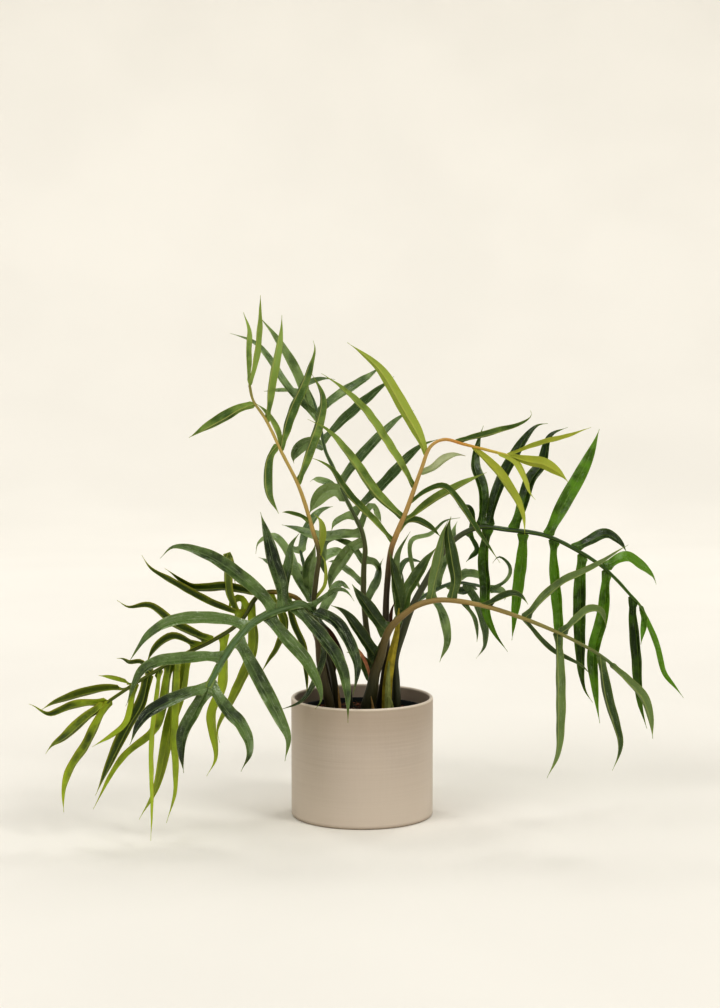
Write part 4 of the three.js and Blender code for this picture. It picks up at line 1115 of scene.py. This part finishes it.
def add_lobe(blades, stalk, upper, leaf, index, look, draw):
    """One lobe, with its own fold, ripples, hooked tip and tone."""
    line, side, face, width, run, root = lobe_lines(stalk, upper, leaf, index)
    share = run / run[-1]
    half = half_width(width, share, run, look)
    fold = (BLADE_FOLD + draw.uniform(*FOLD_RANGE)) * np.clip(run / FOLD_LENGTH, 0.1, 1.0)[:, None]
    past = np.clip((share - HOOK_START) / (1.0 - HOOK_START), 0.0, 1.0)
    hook = TIP_HOOK * draw.uniform(*HOOK_RANGE) * past**2
    curl = draw.choice([-1.0, 1.0]) * draw.uniform(*CURL_RANGE)
    line = line + (side * curl - face) * hook[:, None]
    waves = run[-1] / draw.uniform(*RIPPLE_SPAN_RANGE)
    size = draw.uniform(*RIPPLE_SIZE_RANGE) * min(1.0, width / RIPPLED_WIDTH)
    left, right = draw.uniform(0, 2 * math.pi, 2)
    phase = np.where(ACROSS < 0, left, right)[None, :]
    swing = np.sin(2 * math.pi * waves * share[:, None] + phase)
    ripple = size * swing * np.sin(math.pi * share[:, None]) ** 0.5
    ripe = look.get("blush", {}).get(index, 1.0 if root > look.get("ripe", 1.0) else 0.0)
    drawn = draw.uniform(-1.0, 1.0)
    tone = look.get("tones", {}).get(index, drawn)
    blades.add(line, side, face, half, fold, ripple, tone, ripe)


def add_wing(blades, stalk, upper, lowest, width):
    """The green edge that joins the lobes along the rachis."""
    rows = slice(max(lowest - 3, 0), len(stalk["line"]))
    line = stalk["line"][rows]
    tangent = stalk["tangent"][rows]
    radius = stalk["radius"][rows]
    face = square_to(np.broadcast_to(upper, tangent.shape), tangent)
    share = np.linspace(0.0, 1.0, len(line))
    taper = np.minimum(1.0, 0.25 + 8.0 * share) * (1.0 - 0.35 * share)
    half = (radius + width * taper) / 2 + WING_WAVE * np.sin(share * WING_WAVES)
    ripple = np.zeros((len(line), len(ACROSS)))
    centre = line + face * (radius * WING_SEAT)[:, None]
    blades.add(centre, np.cross(tangent, face), face, half, WING_FOLD, ripple, 0.0)


# Pieces

def stalk_line(data):
    """The stalk's readings, places, ways and radii, in even steps."""
    readings = rounded(data["stalk"], STALK_ROWS)
    line = placed(readings)
    share = lengths_along(line) / lengths_along(line)[-1]
    girth = np.array(data["girth"], float)
    radius = np.interp(share, np.linspace(0, 1, len(girth)), girth) / 2
    tangent = unit(np.gradient(line, axis=0))
    return {"readings": readings, "line": line, "tangent": tangent, "radius": radius}


def stalk_mesh(name, stalk, tree, material, draw):
    """The stalk as a skin round its route, from below the top of the potting mix."""
    foot = stalk["line"][0].copy()
    foot[2] = MIX_EDGE - STALK_ROOT_DEPTH
    line = np.vstack([foot, (foot + stalk["line"][0]) / 2, stalk["line"]])
    radius = np.concatenate([[stalk["radius"][0] * 0.8, stalk["radius"][0] * 0.95], stalk["radius"]])
    radius = radius * (1.0 + STALK_KNOBBLE * np.sin(np.arange(len(radius)) * draw.uniform(0.3, 0.5)))
    radius[-1] *= STALK_TIP
    route = bpy.data.meshes.new(name + "_route")
    steps = np.arange(len(line) - 1)
    route.from_pydata((line * MM).tolist(), np.column_stack([steps, steps + 1]).tolist(), [])
    route.attributes.new("girth", "FLOAT", "POINT").data.foreach_set("value", radius * MM)
    return grown(name, route, tree, {"Sides": STALK_SIDES, "Material": material})


def make_frond(name, data, look, finishes, tree, number):
    """A frond: its stalk, its blades, and its bleached lobe and dry flake where it has them."""
    draw = np.random.default_rng(100 + number)
    stalk = stalk_line(data)
    upper = unit(np.array(data["upper"], float))
    skin = stalk_finish(name + "_stalk_skin", look["stalk"])
    seat(name + "_stalk", stalk_mesh(name + "_stalk", stalk, tree, skin, draw), look["slot"], name)
    lobes = list(data["lobes"])
    flake = lobes.pop() if "flake" in look else None
    blades, bleached = Blades(), Blades()
    for index, leaf in enumerate(lobes):
        target = bleached if index == look.get("pale_lobe") else blades
        add_lobe(target, stalk, upper, leaf, index, look, draw)
    roots = [np.linalg.norm(stalk["readings"][:, :2] - leaf["route"][0], axis=1).argmin() for leaf in lobes]
    add_wing(blades, stalk, upper, min(roots), look["wing"])
    seat(name + "_blades", blades.mesh(name + "_blades", finishes[look["leaf"]]), look["slot"], name)
    if bleached.count:
        pale = bleached.mesh(name + "_pale_lobe", finishes["leaf_pale"])
        seat(name + "_pale_lobe", pale, look["slot"], name)
    if flake:
        papery = Blades()
        add_lobe(papery, stalk, upper, flake, len(lobes), look, draw)
        seat(name + "_flake", papery.mesh(name + "_flake", finishes[look["flake"]]), "sheath_dry", name)


def make_sheath(name, data, finishes, number):
    """A pointed sheath that stands in the mix and curls round towards the stalks behind it."""
    draw = np.random.default_rng(300 + number)
    line = placed(rounded(data["route"], SHEATH_SAMPLES))
    foot = line[0].copy()
    foot[2] = MIX_EDGE - SHEATH_ROOT_DEPTH
    line = evenly(np.vstack([foot, line]), SHEATH_ROWS)
    tangent = unit(np.gradient(line, axis=0))
    face = square_to(np.broadcast_to(TO_VIEWER, tangent.shape), tangent)
    share = np.linspace(0.0, 1.0, len(line))
    half = np.maximum(LOBE_TIP_WIDTH, data["width"] * np.sin(np.pi * (0.3 + 0.68 * share)) ** 0.8) / 2
    ripple = 0.3 * np.sin(share[:, None] * 17.0 + ACROSS[None, :] * 3.0)
    blades = Blades()
    tone = draw.uniform(-0.5, 0.5)
    blades.add(line, np.cross(tangent, face), face, half, SHEATH_FOLD, ripple, tone)
    seat(name + "_blade", blades.mesh(name + "_blade", finishes[data["finish"]]), data["slot"], name)


def turned(name, profile, facets, material):
    """A solid of revolution whose profile starts and ends on the axis."""
    profile = np.array(profile, float)
    angles = np.linspace(0.0, 2 * math.pi, facets, endpoint=False)
    inner = profile[1:-1]
    rings = np.stack([
        inner[:, None, 0] * np.cos(angles), inner[:, None, 0] * np.sin(angles),
        np.broadcast_to(inner[:, None, 1], (len(inner), facets)),
    ], axis=-1).reshape(-1, 3)
    points = np.vstack([[0.0, 0.0, profile[0, 1]], rings, [0.0, 0.0, profile[-1, 1]]])
    here = np.arange(facets)
    ahead = (here + 1) % facets
    faces = [[0, 1 + b, 1 + a] for a, b in zip(here, ahead)]
    for row in range(len(inner) - 1):
        base = 1 + row * facets
        faces += [[base + a, base + b, base + facets + b, base + facets + a] for a, b in zip(here, ahead)]
    top = 1 + (len(inner) - 1) * facets
    faces += [[top + a, top + b, len(points) - 1] for a, b in zip(here, ahead)]
    made = bpy.data.meshes.new(name)
    made.from_pydata((points * MM).tolist(), [], faces)
    made.shade_smooth()
    made.materials.append(material)
    return made


def arc(centre, radius, start, end, steps):
    """Points of a profile's arc, by angles in degrees."""
    angles = np.radians(np.linspace(start, end, steps))
    return [[centre[0] + radius * math.cos(angle), centre[1] + radius * math.sin(angle)] for angle in angles]


def make_planter():
    """A straight wall with a full round lip, a softened foot and a coved floor."""
    lip = PLANTER_WALL / 2
    inside = PLANTER_RADIUS - PLANTER_WALL
    shoulder = PLANTER_HEIGHT - lip - 1
    wall = [[PLANTER_RADIUS, height] for height in np.linspace(PLANTER_FOOT_EDGE + 1, shoulder, 12)]
    back = [[inside, height] for height in np.linspace(shoulder, PLANTER_FLOOR + 4, 8)]
    profile = [
        [0.0, 0.0],
        [PLANTER_RADIUS - PLANTER_FOOT_EDGE - 1, 0.0],
        *arc((PLANTER_RADIUS - PLANTER_FOOT_EDGE, PLANTER_FOOT_EDGE), PLANTER_FOOT_EDGE, -90, 0, 7),
        *wall,
        *arc((PLANTER_RADIUS - lip, PLANTER_HEIGHT - lip), lip, 0, 180, 13),
        *back,
        *arc((inside - PLANTER_FOOT_EDGE, PLANTER_FLOOR + PLANTER_FOOT_EDGE), PLANTER_FOOT_EDGE, 0, -90, 5),
        [inside - PLANTER_FOOT_EDGE - 2, PLANTER_FLOOR],
        [0.0, PLANTER_FLOOR],
    ]
    body = turned("planter_body", profile, PLANTER_FACETS, planter_finish())
    seat("planter_body", body, "planter_glaze", "planter")


def inner_radius(height):
    """The grower's pot's outer radius at a height."""
    share = (height - PLANTER_FLOOR) / (INNER_POT_TOP - PLANTER_FLOOR)
    return INNER_POT_FOOT_RADIUS + share * (INNER_POT_TOP_RADIUS - INNER_POT_FOOT_RADIUS)


def drilled(mesh, drills):
    """The mesh with the drills' forms cut out of it."""
    blank = bpy.data.objects.new(mesh.name + "_blank", mesh)
    bpy.context.collection.objects.link(blank)
    tools = []
    for drill in drills:
        tools.append(bpy.data.objects.new("drill", drill))
        bpy.context.collection.objects.link(tools[-1])
        cut = blank.modifiers.new("cut", "BOOLEAN")
        cut.operation = "DIFFERENCE"
        cut.object = tools[-1]
    depsgraph = bpy.context.evaluated_depsgraph_get()
    made = bpy.data.meshes.new_from_object(blank.evaluated_get(depsgraph), depsgraph=depsgraph)
    made.name = mesh.name
    blank.modifiers.clear()
    for extra in (blank, *tools):
        bpy.data.objects.remove(extra)
    return made


def make_inner_pot():
    """The grower's thin pot, with a rolled lip that stands proud of its wall."""
    foot = PLANTER_FLOOR + FIT_GAP
    floor = foot + INNER_POT_WALL
    lip_foot = INNER_POT_TOP - INNER_POT_LIP_DEPTH
    outer = [[inner_radius(height), height] for height in np.linspace(foot + 2, lip_foot - 0.5, 9)]
    inside = np.linspace(INNER_POT_TOP - 1, floor + 2, 9)
    inner = [[inner_radius(height) - INNER_POT_WALL, height] for height in inside]
    rolled = INNER_POT_TOP_RADIUS + INNER_POT_LIP_REACH
    profile = [
        [0.0, foot], [INNER_POT_FOOT_RADIUS - 2, foot], *outer,
        [inner_radius(lip_foot), lip_foot], [rolled - 0.6, lip_foot], [rolled, lip_foot + 0.8],
        [rolled, INNER_POT_TOP - 1], *arc((rolled - 1, INNER_POT_TOP - 1), 1.0, 0, 90, 4),
        [INNER_POT_TOP_RADIUS - INNER_POT_WALL + 0.5, INNER_POT_TOP], *inner,
        [inner_radius(floor) - INNER_POT_WALL - 2, floor], [0.0, floor],
    ]
    skin = plain_finish("nursery_plastic", (15, 21, 22), (28, 38, 39), 60.0, 0.45, 0.15)
    drills = []
    for number in range(DRAIN_HOLES):
        angle = 2 * math.pi * number / DRAIN_HOLES
        centre = np.array([DRAIN_CIRCLE * math.cos(angle), DRAIN_CIRCLE * math.sin(angle), 0.0])
        drill = [[0.0, foot - 2], [DRAIN_RADIUS, foot - 2], [DRAIN_RADIUS, floor + 2], [0.0, floor + 2]]
        drills.append(turned("drain_drill", drill, 24, skin))
        drills[-1].transform(Matrix.Translation(centre * MM))
    body = drilled(turned("nursery_pot_body", profile, INNER_POT_FACETS, skin), drills)
    seat("nursery_pot_body", body, "nursery_plastic", "nursery_pot")


def roughened(mesh, draw):
    """Heaves the top of the mix into lumps and crumbs, and gives back its points."""
    points = np.empty(len(mesh.vertices) * 3)
    mesh.vertices.foreach_get("co", points)
    points = points.reshape(-1, 3)
    top = points[:, 2] > (MIX_EDGE - 0.5) * MM
    lumps = sum(
        size * np.sin(points @ unit(draw.normal(size=3)) * 2 * math.pi / (span * MM) + draw.uniform(0, 6))
        for size, span in MIX_LUMPS
    )
    crumbs = draw.uniform(-MIX_CRUMB, MIX_CRUMB, len(points))
    points[:, 2] += np.where(top, (lumps * MIX_LUMP_SHARE + crumbs) * MM, 0.0)
    mesh.vertices.foreach_set("co", points.reshape(-1))
    mesh.update()
    return points


def make_litter(mesh, points):
    """Bark, fibre and grit strewn over the top of the mix."""
    surface = bpy.data.meshes.new("mix_surface")
    top = [face for face in mesh.polygons if face.center[2] > MIX_EDGE * MM and face.normal[2] > 0.3]
    surface.from_pydata(points.tolist(), [], [list(face.vertices) for face in top])
    tree = litter_tree()
    bark = plain_finish("bark_chip", (58, 30, 20), (134, 84, 58), 240.0, 0.7, 0.8)
    fibre = plain_finish("coir_fibre", (70, 46, 28), (150, 112, 74), 300.0, 0.75, 0.5)
    grit = plain_finish("pumice_grit", (150, 140, 124), (214, 206, 190), 500.0, 0.8, 0.6)
    # Density is to the square metre, length in metres, and the next two are shares of the length.
    labels = ("Density", "Length", "Slimness", "Flatness", "Seed", "Material")
    strewing = {
        "mix_bark": (7000.0, 0.011, 0.55, 0.28, 3, bark),
        "mix_fibre": (9000.0, 0.014, 0.07, 0.07, 5, fibre),
        "mix_grit": (1400.0, 0.004, 0.85, 0.8, 9, grit),
    }
    for name, values in strewing.items():
        strewn = grown(name, surface.copy(), tree, dict(zip(labels, values)))
        seat(name, strewn, "potting_mix", "potting_mix")


def make_mix():
    """A low mound of damp mix in the grower's pot."""
    floor = PLANTER_FLOOR + 2 * FIT_GAP + INNER_POT_WALL
    foot = inner_radius(floor) - INNER_POT_WALL - 2 * FIT_GAP
    edge = inner_radius(MIX_EDGE) - INNER_POT_WALL - FIT_GAP
    radii = np.linspace(edge - 0.6, 1.5, MIX_RINGS)
    mound = [[radius, MIX_EDGE + (MIX_CROWN - MIX_EDGE) * (1 - (radius / edge) ** 2)] for radius in radii]
    profile = [[0.0, floor], [foot, floor], [edge, MIX_EDGE - 2], *mound, [0.0, MIX_CROWN]]
    skin = plain_finish("mix_damp", (20, 13, 9), (58, 40, 28), 190.0, 0.8, 0.8)
    mesh = turned("mix_body", profile, INNER_POT_FACETS, skin)
    points = roughened(mesh, np.random.default_rng(7))
    seat("mix_body", mesh, "potting_mix", "potting_mix")
    make_litter(mesh, points)


# Studio

# Each light's turn from the right, its height, its strength and its spread
SUNS = {
    "key_left": (-140.0, 44.0, 0.58, 30.0),
    "key_right": (-38.0, 42.0, 0.68, 16.0),
    "front_fill": (-90.0, 22.0, 0.16, 50.0),
    "back_left": (125.0, 50.0, 0.26, 14.0),
    "back_right": (55.0, 50.0, 0.3, 14.0),
}


def make_studio():
    """A seamless cream bowl, wide enough for a camera on any side."""
    flat, cove, top, facets = 3600.0, 3000.0, 3400.0, 96
    profile = [[radius, 0.0] for radius in (300.0, 900.0, 1800.0, 2700.0)]
    profile += arc((flat, cove), cove, -90, 0, 24)
    profile += [[flat + cove, height] for height in (top - 200.0, top)]
    angles = np.linspace(0.0, 2 * math.pi, facets, endpoint=False)
    rings = [
        [radius * math.cos(angle) * MM, radius * math.sin(angle) * MM, height * MM]
        for radius, height in profile for angle in angles
    ]
    faces = [[place + 1 for place in range(facets)]]
    for row in range(len(profile) - 1):
        for place in range(facets):
            here, ahead = 1 + row * facets + place, 1 + row * facets + (place + 1) % facets
            faces.append([here, here + facets, ahead + facets, ahead])
    paper, tree = new_finish("backdrop_paper")
    tone = grain(tree, place_of(tree), 1.4, 2.0)
    shade = blend_colour(tree, ease(tree, tone, 0.3, 0.7), paint(230, 227, 220), paint(233, 230, 223))
    skin = add_node(tree, "ShaderNodeBsdfPrincipled", {
        "Base Color": shade, "Roughness": 0.9, "Specular IOR Level": 0.1,
    })
    output(tree, skin.outputs[0])
    bowl = bpy.data.meshes.new("backdrop")
    bowl.from_pydata([(0.0, 0.0, 0.0)] + rings, [], faces)
    bowl.shade_smooth()
    bowl.materials.append(paper)
    backdrop = bpy.data.objects.new("backdrop", bowl)
    bpy.context.collection.objects.link(backdrop)


def add_sun(name, turn, height, strength, spread):
    """A broad, even light, turned round from the right towards the back, in degrees."""
    light = bpy.data.lights.new(name, "SUN")
    light.energy = strength
    light.angle = math.radians(spread)
    light.color = (1.0, 0.988, 0.97)
    lamp = bpy.data.objects.new(name, light)
    lamp.rotation_euler = (0.0, math.radians(90 - height), math.radians(turn))
    bpy.context.collection.objects.link(lamp)


def make_lights():
    """Soft light all round: two keys and a fill from the front, two from behind."""
    world = bpy.data.worlds.new("studio_air")
    world.use_nodes = True
    air = world.node_tree.nodes["Background"].inputs
    air["Color"].default_value = (1.0, 0.992, 0.978, 1.0)
    air["Strength"].default_value = 0.4
    bpy.context.scene.world = world
    for name, values in SUNS.items():
        add_sun(name, *values)
    bpy.context.scene.view_settings.view_transform = "Standard"
    bpy.context.scene.view_settings.look = "High Contrast"


def make_plant():
    """Every frond and sheath, from its readings and its looks."""
    finishes = {name: leaf_finish(name, **colours) for name, colours in LEAVES.items()}
    finishes.update({name: sheath_finish(name, *colours) for name, colours in SHEATH_COLOURS.items()})
    tree = stalk_tree()
    for number, (name, data) in enumerate(FRONDS.items()):
        make_frond(name, data, LOOKS[name], finishes, tree, number)
    for number, (name, data) in enumerate(SHEATHS.items()):
        make_sheath(name, data, finishes, number)


make_planter()
make_inner_pot()
make_mix()
make_plant()
make_studio()
make_lights()
